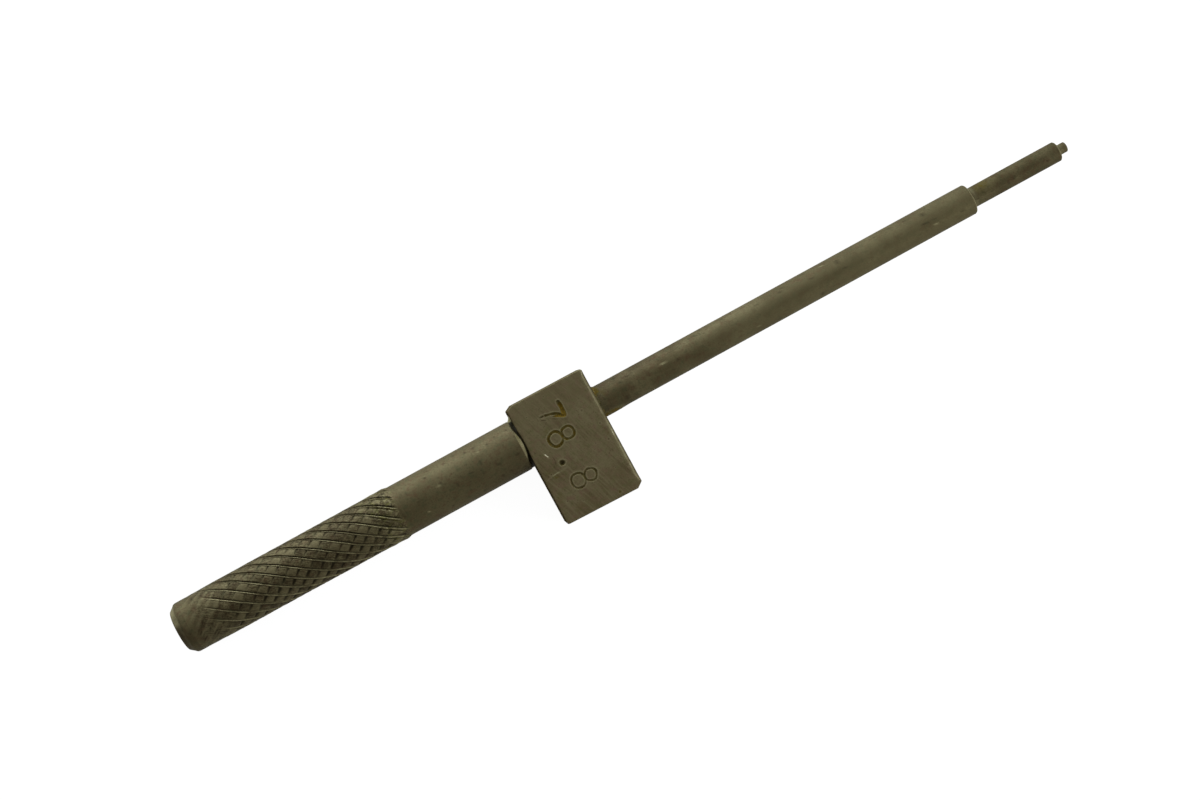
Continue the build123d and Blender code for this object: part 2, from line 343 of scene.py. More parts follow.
    # Painted highlight: a bright line along the steep groove wall that faces the key light.
    worn = e1 * bump(d1, -(wall * 0.72), 0.066) * np.clip(0.66 + 0.50 * glint + 0.40 * rough, 0.10, 1.2) * (0.45 + 0.55 * grow)
    worn = worn + 0.30 * e5 * np.clip(wave, 0, 1) * (1 - g1)
    worn = worn + late * (0.78 * e1 * bump(d1, -0.31, 0.13) + 0.90 * e3 * bump(d1, -0.73, 0.12)) * np.clip(beads, 0, 1.3)
    cavity = cavity + body * late * 1.20 * np.clip(-speck - 0.22, 0, 1)
    worn = worn + body * late * 1.10 * np.clip(speck - 0.28, 0, 1) * np.clip(quiet, 0, 1) ** 2
    gold = late * (0.46 * e1 * bump(d1, -0.38, 0.12) + 0.52 * e3 * bump(d1, -0.80, 0.12)) * np.clip(0.7 + rough, 0, 1.4)
    return r, dict(cavity=np.clip(cavity, 0, 1), worn=np.clip(worn, 0, 1), tone=np.clip(tone, -1, 1) * pad, rust=np.clip(gold, 0, 1),
                   flow=np.stack([p1, p2, step(3.0, 6.0, X) * (1 - step(43.6, 44.4, X)) * pad * (1 - step(2.75, 2.95, np.abs(th)))], -1))


def dents(X, th, r, marks):
    """Small nicks: (X, th, half length along X, half width round, depth)."""
    y = th
    for mx, mt, lx, lt, depth in marks:
        dt = (y - mt + math.pi) % TAU - math.pi
        q = ((X - mx) / lx) ** 2 + (dt * r / lt) ** 2
        r = r - depth * np.exp(-q) + 0.45 * depth * np.exp(-((np.sqrt(q) - 1.55) / 0.45) ** 2)
    return r


def mark_field(X, th, r, marks):
    out = np.zeros_like(X)
    for mx, mt, lx, lt, depth in marks:
        dt = (th - mt + math.pi) % TAU - math.pi
        q = ((X - mx) / lx) ** 2 + (dt * r / lt) ** 2
        out = np.maximum(out, np.exp(-q))
    return out


GRIP_NICKS = ((52.60, math.radians(-9), 0.26, 0.17, 0.050), (61.7, math.radians(-34), 0.16, 0.13, 0.030),
              (49.0, math.radians(31), 0.20, 0.14, 0.028), (57.4, math.radians(140), 0.5, 0.18, 0.045),
              (64.9, math.radians(215), 0.22, 0.40, 0.040), (48.2, math.radians(262), 0.30, 0.20, 0.035))
ROD_NICKS = ((98.60, math.radians(-13), 0.62, 0.17, 0.055), (117.2, math.radians(38), 0.22, 0.13, 0.030),
             (141.0, math.radians(150), 0.8, 0.14, 0.035), (108.3, math.radians(200), 0.25, 0.2, 0.035),
             (132.6, math.radians(-52), 0.30, 0.10, 0.022), (155.2, math.radians(20), 0.16, 0.12, 0.025))


def xyz(X, th, r):
    return X, -r * np.sin(th), r * np.cos(th)


def grip_shape(X, th, r):
    x, y, z = xyz(X, th, r)
    r = r + 0.006 * fbm(x * 0.35, y * 0.35, z * 0.35, 61)
    return X, dents(X, th, r, GRIP_NICKS)


def grip_finish(X, th, r):
    x, y, z = xyz(X, th, r)
    nick = mark_field(X, th, r, GRIP_NICKS)
    specks = step(0.62, 0.80, noise(x * 1.9, y * 1.9, z * 1.9, 66))
    by_block = step(58.0, 67.0, X)
    # Painted shading: the grip is darker towards the free end and on the -Y side, away from the key light. By the
    # block, it is darker on the -Y side and painted lighter along the top.
    tone = -0.30 * (1 - step(2.0, 40.0, X)) - 0.18 * step(0.1, 0.9, np.sin(th)) * (1 - step(3.0, 50.0, X)) - 0.30 * (1 - step(2.5, 8.0, X)) * step(-0.3, 0.6, np.sin(th))
    tone = tone - 0.42 * by_block * step(0.25, 0.75, np.sin(th)) + 0.22 * by_block * bump(np.sin(th), -0.10, 0.28)
    return dict(worn=nick * 0.8, cavity=0.45 * specks, tone=tone,
                rust=0.14 * step(0.30, 0.8, fbm(x * 0.5, y * 0.5, z * 0.5, 64)))


def rod_shape(X, th, r):
    x, y, z = xyz(X, th, r)
    near = 1 - step(X1 + 0.8, X1 + 3.6, X)
    rough = near * fbm(x * 2.6, y * 2.6, z * 2.6, 71) * (0.35 + 0.65 * step(0.2, 0.9, np.sin(th)))
    built = 0.10 * (1 - step(X1 + 2.6, X1 + 5.5, X)) * step(0.55, 1.0, np.sin(th))
    r = r + 0.005 * fbm(x * 0.3, y * 0.5, z * 0.5, 70) + 0.055 * rough + built
    return X, dents(X, th, r, ROD_NICKS)


def rod_finish(X, th, r):
    x, y, z = xyz(X, th, r)
    near = 1 - step(X1 + 0.6, X1 + 4.0, X)
    nick = mark_field(X, th, r, ROD_NICKS)
    pits = step(0.60, 0.82, noise(x * 1.6, y * 1.6, z * 1.6, 76))
    # by the block: old brown in two places, and a rough root, darker in colour
    up = 0.75 * bump(y, 2.05, 0.80) * (z > 0) * (1 - step(X1 + 0.60, X1 + 1.50, X))
    low = 0.95 * bump(y, -2.75, 0.50) * (z > -1.6) * (1 - step(X1 + 2.2, X1 + 4.4, X))
    rust = np.clip((up + low) * (0.9 + 0.6 * fbm(x * 1.3, y * 1.3, z * 1.3, 73)), 0, 1)
    rust = np.maximum(rust, 0.30 * near * np.clip(0.4 + fbm(x * 0.9, y * 0.9, z * 0.9, 77), 0, 1))
    rust = np.maximum(rust, 0.16 * step(0.40, 0.85, fbm(x * 0.35, y * 0.6, z * 0.6, 74)))
    root = near * (0.10 + 0.35 * step(0.0, 0.6, fbm(x * 3, y * 3, z * 3, 75))) * (1 - np.clip(1.3 * rust, 0, 1))
    edge = bump(y, -2.75, 0.45) * (z > -1.6) * (1 - step(X1 + 2.4, X1 + 5.0, X))
    # Painted shading in tone: the rod is lighter towards the tip and darker on the +Y side, standing in for light that
    # falls off along the rod. By the block, it is lighter along the top and darker towards +Y.
    return dict(worn=np.maximum(nick, 0.60 * edge), cavity=np.clip((0.45 * pits + root) * (1 - 0.9 * edge), 0, 1), rust=rust,
                tone=-0.12 + 0.95 * step(X1 + 2.0, 125.0, X) + 0.85 * near * bump(y, -0.4, 1.5) - 0.30 * near * step(0.9, 1.9, y)
                - 0.45 * step(0.40, 0.75, -np.sin(th)) + 0.45 * fbm(X * 0.6, y * 0.9, z * 0.9, 79))


def pilot_finish(X, th, r):
    x, y, z = xyz(X, th, r)
    root = 1 - step(XS + 0.5, XS + 1.1, X)
    brown = (step(XS + 0.6, XS + 1.4, X) * (1 - 0.40 * step(XS + 4.0, XS + 9.0, X))) * np.clip(0.75 - 0.55 * np.sin(th), 0, 1) * (np.cos(th) > -0.3)
    rust = np.clip(brown * (0.85 + 0.25 * fbm(x * 0.6, y * 0.9, z * 0.9, 81)), 0, 1) * (0.17 + 0.09 * (1 - step(XS + 3.5, XS + 6.5, X)))
    rust = rust + 0.22 * bump(X, XS + 2.6, 1.3) * bump(th % TAU, TAU - 0.75, 0.45)
    # Painted shade: the pilot is darker overall, and most of all in a band just past its top towards -Y, where the key
    # light barely reaches.
    return dict(rust=rust, worn=0.25 * root, cavity=0.40 * step(0.6, 0.85, noise(x * 1.7, y * 1.7, z * 1.7, 83)),
                tone=-0.16 - 0.22 * bump(np.sin(th), 0.1, 0.45) + 0 * X)


def plain_finish(**values):
    return lambda X, th, r: {k: v + 0 * X for k, v in values.items()}


def make_spindle():
    s = Shell()
    t = Turned(s)
    n = 128
    # free end: faced, chamfered, the chamfer rounded into the grip
    centre = s.add([(0.03, 0, 0)], tone=0.0)
    th = np.arange(n) * TAU / n
    end_profile = [(0.03, 0.35, 16), (0.02, 0.9, 32), (0.01, 1.6, 64), (0.0, 2.3, 96), (0.0, 3.0, n), (0.0, 3.45, n),
                   (0.005, 3.66, n), (0.03, 3.755, n), (0.085, 3.845, n), (0.26, 3.99, n), (0.5, 4.18, n), (0.78, 4.395, n)]
    slope = math.atan2(GRIP_R - END_R, 1.27)
    tangent = 0.9 * math.tan(slope / 2)
    cx, cr = 1.27 + tangent, GRIP_R - 0.9
    for k in range(7):
        a = math.pi / 2 + slope * (1 - k / 6)
        end_profile.append((cx + 0.9 * math.cos(a), cr + 0.9 * math.sin(a), n))

    def end_finish(X, th, r):
        x, y, z = xyz(X, th, r)
        a = np.where(th > math.pi, th - TAU, th)
        edge = bump(r, 3.76, 0.10) + 0.8 * bump(X, 1.02, 0.22)
        edge = edge * (0.7 + 0.5 * fbm(x, y * 0.8, z * 0.8, 91)) * (1 - 0.7 * step(-0.3, 0.2, a) * (1 - step(0.9, 1.3, a)))
        # Painted highlight: a bright band on the chamfer's +Y side, which faces the key light.
        band = step(0.02, 0.12, X) * (1 - step(0.95, 1.25, X)) * step(-1.45, -1.15, a) * (1 - step(-0.42, -0.10, a))
        band = band * (0.75 + 0.35 * noise(X * 1.4, a * 3.5, 0.0, 93))
        # Painted shade: the end is darker than the grip, more so on the -Y side.
        return dict(worn=np.clip(np.maximum(edge * 0.60, 0.85 * band), 0, 1), cavity=0.4 * step(0.6, 0.85, noise(x * 1.7, y * 1.7, z * 1.7, 92)),
                    tone=-0.46 - 0.16 * step(-0.3, 0.6, np.sin(th)), rust=0.10 * step(0.3, 1.2, a) * (1 - step(1.6, 2.2, a)))

    first = True
    for X, r, m in end_profile:
        ids = t.ring(X, r, m, end_finish)
        if first:
            for k in range(m):
                s.faces.append((centre[0], ids[k], ids[(k + 1) % m]))
            first = False
    for X in (2.0, K_LEFT - 0.12):
        t.ring(X, GRIP_R, n, grip_finish)

    # knurled band: a mesh laid along the two families of grooves, then cut square at both ends
    frac1 = np.array((0.0, 0.030, 0.060, 0.092, 0.17, 0.31, 0.46, 0.60, 0.675, 0.722, 0.758, 0.792, 0.824, 0.850, 0.882, 0.916, 0.955))
    frac2 = np.array((0.0, 0.045, 0.095, 0.20, 0.38, 0.62, 0.80, 0.905, 0.955))
    ma, mb = len(frac1), len(frac2)
    A = np.arange(N1 * ma)
    p1 = A // ma + frac1[A % ma]
    rows = []
    for a, pa in zip(A, p1):
        lo = C2 + (N2 * (pa - C1) - (N2 * F1 + N1 * F2) * (K_RIGHT + 0.8)) / N1
        hi = C2 + (N2 * (pa - C1) - (N2 * F1 + N1 * F2) * (K_LEFT - 0.8)) / N1
        b0, b1 = math.floor(lo) * mb, math.ceil(hi) * mb
        rows.append((a, b0, b1))
    a_all = np.concatenate([np.full(b1 - b0 + 1, a) for a, b0, b1 in rows])
    b_all = np.concatenate([np.arange(b0, b1 + 1) for a, b0, b1 in rows])
    P1 = a_all // ma + frac1[a_all % ma]
    P2 = b_all // mb + frac2[b_all % mb]
    X, T = from_phases(P1, P2)
    for _ in range(3):
        n1, n2 = wander(X, T)
        X, T = from_phases(P1 - n1, P2 - n2)
    index = {(int(a), int(b)): i for i, (a, b) in enumerate(zip(a_all, b_all))}
    keep = (X > K_LEFT - 0.7) & (X < K_RIGHT + 0.7)
    bm = bmesh.new()
    verts = {}
    period_a, period_b = N1 * ma, N2 * mb

    def vert(a, b):
        k = a // period_a
        a, b = a - k * period_a, b - k * period_b
        i = index.get((a, b))
        if i is None or not keep[i]:
            return None
        v = verts.get(i)
        if v is None:
            r = GRIP_R
            v = verts[i] = bm.verts.new((X[i], -r * math.sin(T[i]), r * math.cos(T[i])))
        return v

    for i in np.nonzero(keep)[0]:
        a, b = int(a_all[i]), int(b_all[i])
        quad = [vert(a, b), vert(a + 1, b), vert(a + 1, b + 1), vert(a, b + 1)]
        if None not in quad:
            bm.faces.new(quad)
    for x, side in ((K_LEFT, -1), (K_RIGHT, 1)):
        bmesh.ops.bisect_plane(bm, geom=list(bm.verts) + list(bm.edges) + list(bm.faces), dist=1e-7,
                               plane_co=(x, 0, 0), plane_no=(side, 0, 0), clear_outer=True)
    bm.verts.ensure_lookup_table()
    bm.verts.index_update()
    co = np.array([v.co for v in bm.verts], float)
    kx, kt = co[:, 0], np.arctan2(-co[:, 1], co[:, 2])
    kr, kfin = knurl(kx, kt)
    # plain grip shape at both ends of the band
    mix = np.clip(step(K_LEFT, K_LEFT + 0.2, kx) * (1 - step(K_RIGHT - 0.2, K_RIGHT, kx)), 0, 1)
    kr = GRIP_R + (kr - GRIP_R) * mix
    plain = grip_finish(kx, kt, kr)
    base_n = s.n
    kfin["cavity"] = np.maximum(kfin["cavity"], plain["cavity"] * 0.6)
    kfin["rust"] = np.maximum(kfin["rust"], plain["rust"] * 0.5)
    kid = s.add(round_points(kx, kt, kr), **kfin)
    for f in bm.faces:
        s.faces.append(tuple(base_n + v.index for v in f.verts))
    left = np.array([v.index for v in bm.verts if v.is_boundary and abs(v.co.x - K_LEFT) < 1e-5])
    right = np.array([v.index for v in bm.verts if v.is_boundary and abs(v.co.x - K_RIGHT) < 1e-5])
    bm.free()
    a, ta = t.last
    bridge(s, a, kid[left], ta, kt[left])
    t.last = (kid[right], kt[right])

    # plain grip
    for X in [K_RIGHT + 0.12] + list(np.arange(K_RIGHT + 0.5, 68.45, 0.42)):
        t.ring(X, GRIP_R, n, grip_finish, grip_shape)
    for X, r in ((68.62, GRIP_R), (68.72, 4.835), (68.78, 4.815), (68.83, 4.78)):
        t.ring(X, r, n, plain_finish(worn=0.15 if X > 68.77 else 0.0))

    # the chamfer has a painted highlight in a crescent at the top, where it stands clear of the block, and painted
    # shade, black, in the gap behind it
    def rim_finish(X, th, r):
        a = np.where(th > math.pi, th - TAU, th)
        limit = 69.42 - 0.46 * ((a + 0.04) / 0.62) ** 2 + 0.03 * noise(a * 9.0, 0.0, 0.0, 94)
        open_air = 1 - step(limit - 0.06, limit + 0.04, X)
        back = 0.30 * bump(np.abs(a), 2.3, 0.6) * (1 - step(69.0, 69.2, X))
        gap = 1 - np.maximum(open_air, back)
        glow = 0.80 * open_air * (0.88 + 0.22 * noise(X * 3, a * 4.0, 1.0, 95))
        return dict(worn=np.clip(np.maximum(glow, back), 0, 1), cavity=np.clip(gap * step(68.87, 68.98, X), 0, 1), tone=0 * X, rust=open_air * (0.08 + 0.20 * step(0.05, -0.35, a)))

    for X in (68.88, 68.94, 69.00, 69.06, 69.12, 69.18, 69.24, 69.30, 69.36, 69.42, 69.48, 69.53):
        t.ring(X, 4.73 - (X - 68.88), n, rim_finish)
    for X, r in ((69.56, 4.02), (69.57, 3.85), (69.575, 3.5), (69.58, 2.90)):
        t.ring(X, r, n, plain_finish(cavity=1.0))
    # through the block
    for X in (70.6, 74.0, 79.0, 83.8):
        t.ring(X, 2.90, 96, plain_finish(cavity=1.0))
    for X in list(np.arange(X1 - 0.3, X1 + 4.2, 0.20)) + list(np.arange(X1 + 4.5, XS - 0.9, 0.70)) + [XS - 0.7, XS - 0.45]:
        t.ring(X, ROD_R, 96, rod_finish, rod_shape)
    # shoulder
    for X, r, w in ((XS - 0.28, ROD_R, 0.1), (XS - 0.20, 2.92, 0.4), (XS - 0.11, 2.87, 0.6), (XS - 0.03, 2.79, 0.5),
                    (XS - 0.005, 2.70, 0.3), (XS, 2.6, 0.1), (XS, 2.25, 0), (XS + 0.0, 2.01, 0)):
        t.ring(X, r, 96, plain_finish(worn=w))
    for X, r, c in ((XS + 0.02, 1.965, 0.7), (XS + 0.08, 1.936, 0.5)):
        t.ring(X, r, 72, plain_finish(cavity=c))

    def pilot_shape(X, th, r):
        x, y, z = xyz(X, th, r)
        return X, r + 0.005 * fbm(x * 0.4, y * 0.6, z * 0.6, 88)

    for X in list(np.arange(XS + 0.25, XP - 0.6, 0.40)) + [XP - 0.45]:
        t.ring(X, PILOT_R, 72, pilot_finish, pilot_shape)
    for X, r, w in ((XP - 0.30, PILOT_R, 0.1), (XP - 0.22, 1.92, 0.5), (XP - 0.10, 1.815, 0.7), (XP - 0.03, 1.715, 0.6),
                    (XP, 1.58, 0.3), (XP, 1.3, 0.1), (XP, 1.03, 0.1)):
        t.ring(X, r, 72, plain_finish(worn=w))
    for X, r, w, k in ((XP + 0.03, 1.005, 0.2, 48), (XP + 0.12, NIB_R, 0.5, 48), (XP + 0.35, NIB_R, 0.6, 48), (XP + 0.7, NIB_R, 0.4, 48),
                       (XP + 1.1, NIB_R, 0.2, 48), (XN - 0.30, NIB_R, 0.2, 48), (XN - 0.18, 0.98, 0.4, 48), (XN - 0.08, 0.925, 0.5, 48),
                       (XN - 0.02, 0.80, 0.4, 48), (XN, 0.70, 0.2, 48), (XN, 0.4, 0.2, 24)):
        t.ring(X, r, k, plain_finish(worn=0.6 * w, rust=0.06))
    t.tip(XN)
    return s.build("spindle_visual", crease=46)


# ---------------------------------------------------------------------------
# Gauge block
# ---------------------------------------------------------------------------
NEAR = (7.11, 6.99)
FAR = (-16.55, -16.91)
BACK, FACE = 69.56, 84.97


def y_near(x):
    return NEAR[0] + (NEAR[1] - NEAR[0]) * (x - X0) / (X1 - X0)


def y_far(x):
    return FAR[0] + (FAR[1] - FAR[0]) * (x - X0) / (X1 - X0)


def outline():
    """Points round the block, anticlockwise seen from +Z, with the side each lies on and inward normals."""
    corners = [
        (BACK, NEAR[0] - 0.62, 0.30), (BACK, FAR[0] + 0.10, 0.34), (BACK + 0.45, y_far(BACK + 0.45), 0.30),
        (FACE - 1.18, y_far(FACE - 1.18), 0.30), (FACE, FAR[1] + 0.90, 0.30), (FACE, NEAR[1] - 0.30, 0.22),
        (FACE - 0.30, y_near(FACE - 0.30), 0.22), (BACK + 1.18, y_near(BACK + 1.18), 0.30),
    ]
    n = len(corners)
    pts, side = [], []
    for i in range(n):
        p = np.array(corners[i][:2])
        a, b = np.array(corners[i - 1][:2]), np.array(corners[(i + 1) % n][:2])
        ua, ub = (a - p) / np.linalg.norm(a - p), (b - p) / np.linalg.norm(b - p)
        ang = math.acos(np.clip(ua @ ub, -1, 1))
        rad = corners[i][2]
        back = min(rad / math.tan(ang / 2), 0.45 * min(np.linalg.norm(a - p), np.linalg.norm(b - p)))
        q0, q1 = p + ua * back, p + ub * back
        for k in range(5):
            u = k / 4
            pts.append((1 - u) ** 2 * q0 + 2 * u * (1 - u) * p + u * u * q1)
            side.append(-1)
        q2 = b + 0 * p
        nxt = corners[(i + 1) % n]
        pb = np.array(nxt[:2])
        pc = np.array(corners[(i + 2) % n][:2])
        ub2, uc2 = (p - pb) / np.linalg.norm(p - pb), (pc - pb) / np.linalg.norm(pc - pb)
        ang2 = math.acos(np.clip(ub2 @ uc2, -1, 1))
        back2 = min(nxt[2] / math.tan(ang2 / 2), 0.45 * min(np.linalg.norm(p - pb), np.linalg.norm(pc - pb)))
        end = pb + ub2 * back2
        run = np.linalg.norm(end - q1)
        count = max(1, int(run / 0.32))
        for k in range(1, count):
            pts.append(q1 + (end - q1) * k / count)
            side.append(i)
    pts = np.array(pts)
    side = np.array(side)
    nxt, prv = np.roll(pts, -1, 0), np.roll(pts, 1, 0)
    tan = (nxt - prv) / np.linalg.norm(nxt - prv, axis=1)[:, None]
    inward = np.stack([-tan[:, 1], tan[:, 0]], -1)
    return pts, side, inward


def stroke(rows, closed=False, sub=5):
    """A smooth stamped stroke through rows of x, y, half width, depth, dirt, old brown stain."""
    r = np.array(rows, float)
    n = len(r)
    out = []
    for i in range(n if closed else n - 1):
        p0 = r[(i - 1) % n] if closed else r[max(i - 1, 0)]
        p1, p2 = r[i], r[(i + 1) % n]
        p3 = r[(i + 2) % n] if closed else r[min(i + 2, n - 1)]
        for k in range(sub):
            u = k / sub
            out.append(0.5 * (2 * p1 + (p2 - p0) * u + (2 * p0 - 5 * p1 + 4 * p2 - p3) * u * u + (3 * p1 - p0 - 3 * p2 + p3) * u ** 3))
    out.append(r[0] if closed else r[-1])
    return np.array(out)


def figure_loop(cx, cy, rx, ry, w, d, darkening, stain, seed, light=()):
    """One loop of a hand-stamped figure: nearly round, struck harder in some places than others."""
    rows = []
    for k in range(16):
        a = k * TAU / 16
        e = 1 + 0.030 * math.cos(4 * a + 0.9 + seed) + 0.022 * float(noise(k * 1.7, seed * 3.1, 0, 301))
        hit = 1 + 0.30 * float(noise(k * 0.9, seed * 1.7, 5.0, 302))
        for angle, width, cutoff in light:
            hit *= 1 - cutoff * math.exp(-(((a - math.radians(angle) + math.pi) % TAU - math.pi) / math.radians(width)) ** 2)
        rows.append((cx + rx * e * math.cos(a), cy + ry * e * math.sin(a), w * (0.45 + 0.55 * min(hit, 1.15)), d * hit, darkening * hit, stain * (0.5 + 0.5 * hit)))
    return stroke(rows, True)


STROKES = [
    # the two eights, then the seven's bar, its leg, and the brown that sits in the leg
    figure_loop(75.02, -1.99, 1.27, 1.34, 0.280, 0.160, 0.54, 0.50, 1, ((-22, 22, 0.45), (95, 25, 0.25))),
    figure_loop(77.52, -1.99, 1.14, 1.13, 0.255, 0.145, 0.52, 0.50, 2, ((-100, 22, 0.35), (-60, 14, -0.20))),
    figure_loop(75.05, -10.47, 1.30, 1.36, 0.215, 0.115, 0.62, 0.30, 3, ((-30, 20, 0.50), (200, 30, 0.25))),
    figure_loop(77.50, -10.54, 1.13, 1.12, 0.215, 0.120, 0.66, 0.30, 4, ((62, 12, 0.60), (120, 14, 0.45))),
    stroke(((78.53, 3.72, .34, .15, 1.0, .25), (78.57, 3.34, .40, .20, .92, .50), (78.64, 2.87, .37, .20, .66, .75), (78.62, 2.42, .36, .19, .42, .90),
            (78.56, 1.89, .40, .19, .18, 1.0), (78.52, 1.44, .41, .19, .10, 1.0), (78.46, 1.08, .38, .17, .05, 1.0))),
    stroke(((78.25, 1.17, .20, .15, .5, .7), (77.92, 1.49, .24, .18, 1.0, .40), (77.54, 1.83, .26, .18, 1.0, .40), (77.09, 2.10, .26, .17, 1.0, .38),
            (76.66, 2.26, .26, .15, .95, .35), (76.19, 2.40, .20, .10, .60, .35), (75.74, 2.51, .22, .11, .78, .30), (75.32, 2.62, .24, .13, .95, .25),
            (75.06, 2.65, .13, .05, .35, .15), (74.83, 2.69, .22, .12, .90, .20), (74.27, 2.71, .14, .05, .50, .05))),
    stroke(((78.20, 1.00, .22, .12, 0, 1), (77.90, 1.18, .24, .12, 0, 1), (77.54, 1.38, .23, .10, 0, 1), (77.14, 1.56, .21, .08, 0, 1), (76.78, 1.72, .16, .05, 0, .8), (76.50, 1.84, .08, .02, 0, .3))),
    stroke(((75.02, 1.84, .09, .020, .50, .1), (74.58, 2.02, .09, .025, .45, .1), (74.13, 2.17, .08, .015, .3, 0))),
    stroke(((77.05, .95, .12, .014, .30, .1), (76.55, 1.24, .12, .018, .34, .1), (76.1, 1.47, .10, .010, .25, 0))),
]
for line in STROKES:
    line[:, 0] -= 0.08
SCRATCHES = [
    # points, half width, depth, brightness
    (np.array(((71.83, -3.36), (71.95, -3.62), (72.10, -3.92), (72.27, -4.28))), 0.110, 0.060, 1.4),
    (np.array(((71.20, -7.56), (71.89, -7.46), (72.43, -7.45), (72.87, -7.50))), 0.095, 0.020, 0.95),
    (np.array(((69.75, -7.85), (70.46, -7.68), (71.26, -7.55))), 0.07, 0.010, 0.28),
    (np.array(((72.87, -7.49), (73.5, -7.42), (74.3, -7.35))), 0.16, 0.012, 0.25),
    (np.array(((74.10, 2.38), (74.58, 2.36), (75.12, 2.27), (75.65, 2.13), (76.19, 1.90), (76.64, 1.65), (77.09, 1.36))), 0.085, 0.012, 0.42),
    (np.array(((72.90, -4.40), (72.94, -5.40), (72.70, -6.20))), 0.09, 0.012, -0.45),
    (np.array(((72.55, -5.60), (72.30, -6.40), (72.45, -7.20))), 0.09, 0.010, -0.35),
    (np.array(((80.6, 1.9), (81.9, -0.6))), 0.05, 0.006, 0.22), (np.array(((79.2, -5.0), (80.4, -7.6))), 0.05, 0.006, 0.2),
    (np.array(((74.2, 5.6), (74.9, 4.3))), 0.05, 0.006, 0.25), (np.array(((80.4, 5.9), (81.2, 4.0))), 0.05, 0.006, 0.2),
]
# small pocks in the face: x, y, radius, depth
POCKS = ((71.16, -7.20, 0.16, 0.05), (81.49, 0.27, 0.20, 0.03), (83.30, -6.55, 0.19, 0.03), (83.28, -3.30, 0.17, 0.03), (80.60, -15.86, 0.24, 0.035),
         (76.6, 5.75, 0.13, 0.02), (79.1, -8.6, 0.12, 0.02), (82.0, -11.6, 0.13, 0.02), (72.2, 3.9, 0.13, 0.02), (80.9, -6.1, 0.13, 0.02),
         (78.6, -9.28, 0.12, 0.05), (71.4, -12.8, 0.14, 0.02), (74.0, -14.1, 0.12, 0.02), (83.5, 4.2, 0.12, 0.02))
DOT = (73.92, -6.27, 0.57, 0.44)


def resample(poly, gap):
    seg = np.linalg.norm(np.diff(poly, axis=0), axis=1)
    run = np.concatenate([[0], np.cumsum(seg)])
    n = max(2, int(run[-1] / gap) + 1)
    at = np.linspace(0, run[-1], n)
    return np.stack([np.interp(at, run, poly[:, k]) for k in (0, 1)], -1), at / run[-1]


def nearest(q, poly):
    """Distance from each of q to a polyline, and how far along it that is."""
    best, where = np.full(len(q), 1e9), np.zeros(len(q))
    seg = np.diff(poly, axis=0)
    length = np.linalg.norm(seg, axis=1)
    run = np.concatenate([[0], np.cumsum(length)])
    for k in range(len(seg)):
        u = np.clip(((q - poly[k]) @ seg[k]) / max(length[k] ** 2, 1e-12), 0, 1)
        d = np.linalg.norm(q - poly[k] - u[:, None] * seg[k], axis=1)
        closer = d < best
        best[closer] = d[closer]
        where[closer] = (run[k] + u[closer] * length[k]) / run[-1]
    return best, where


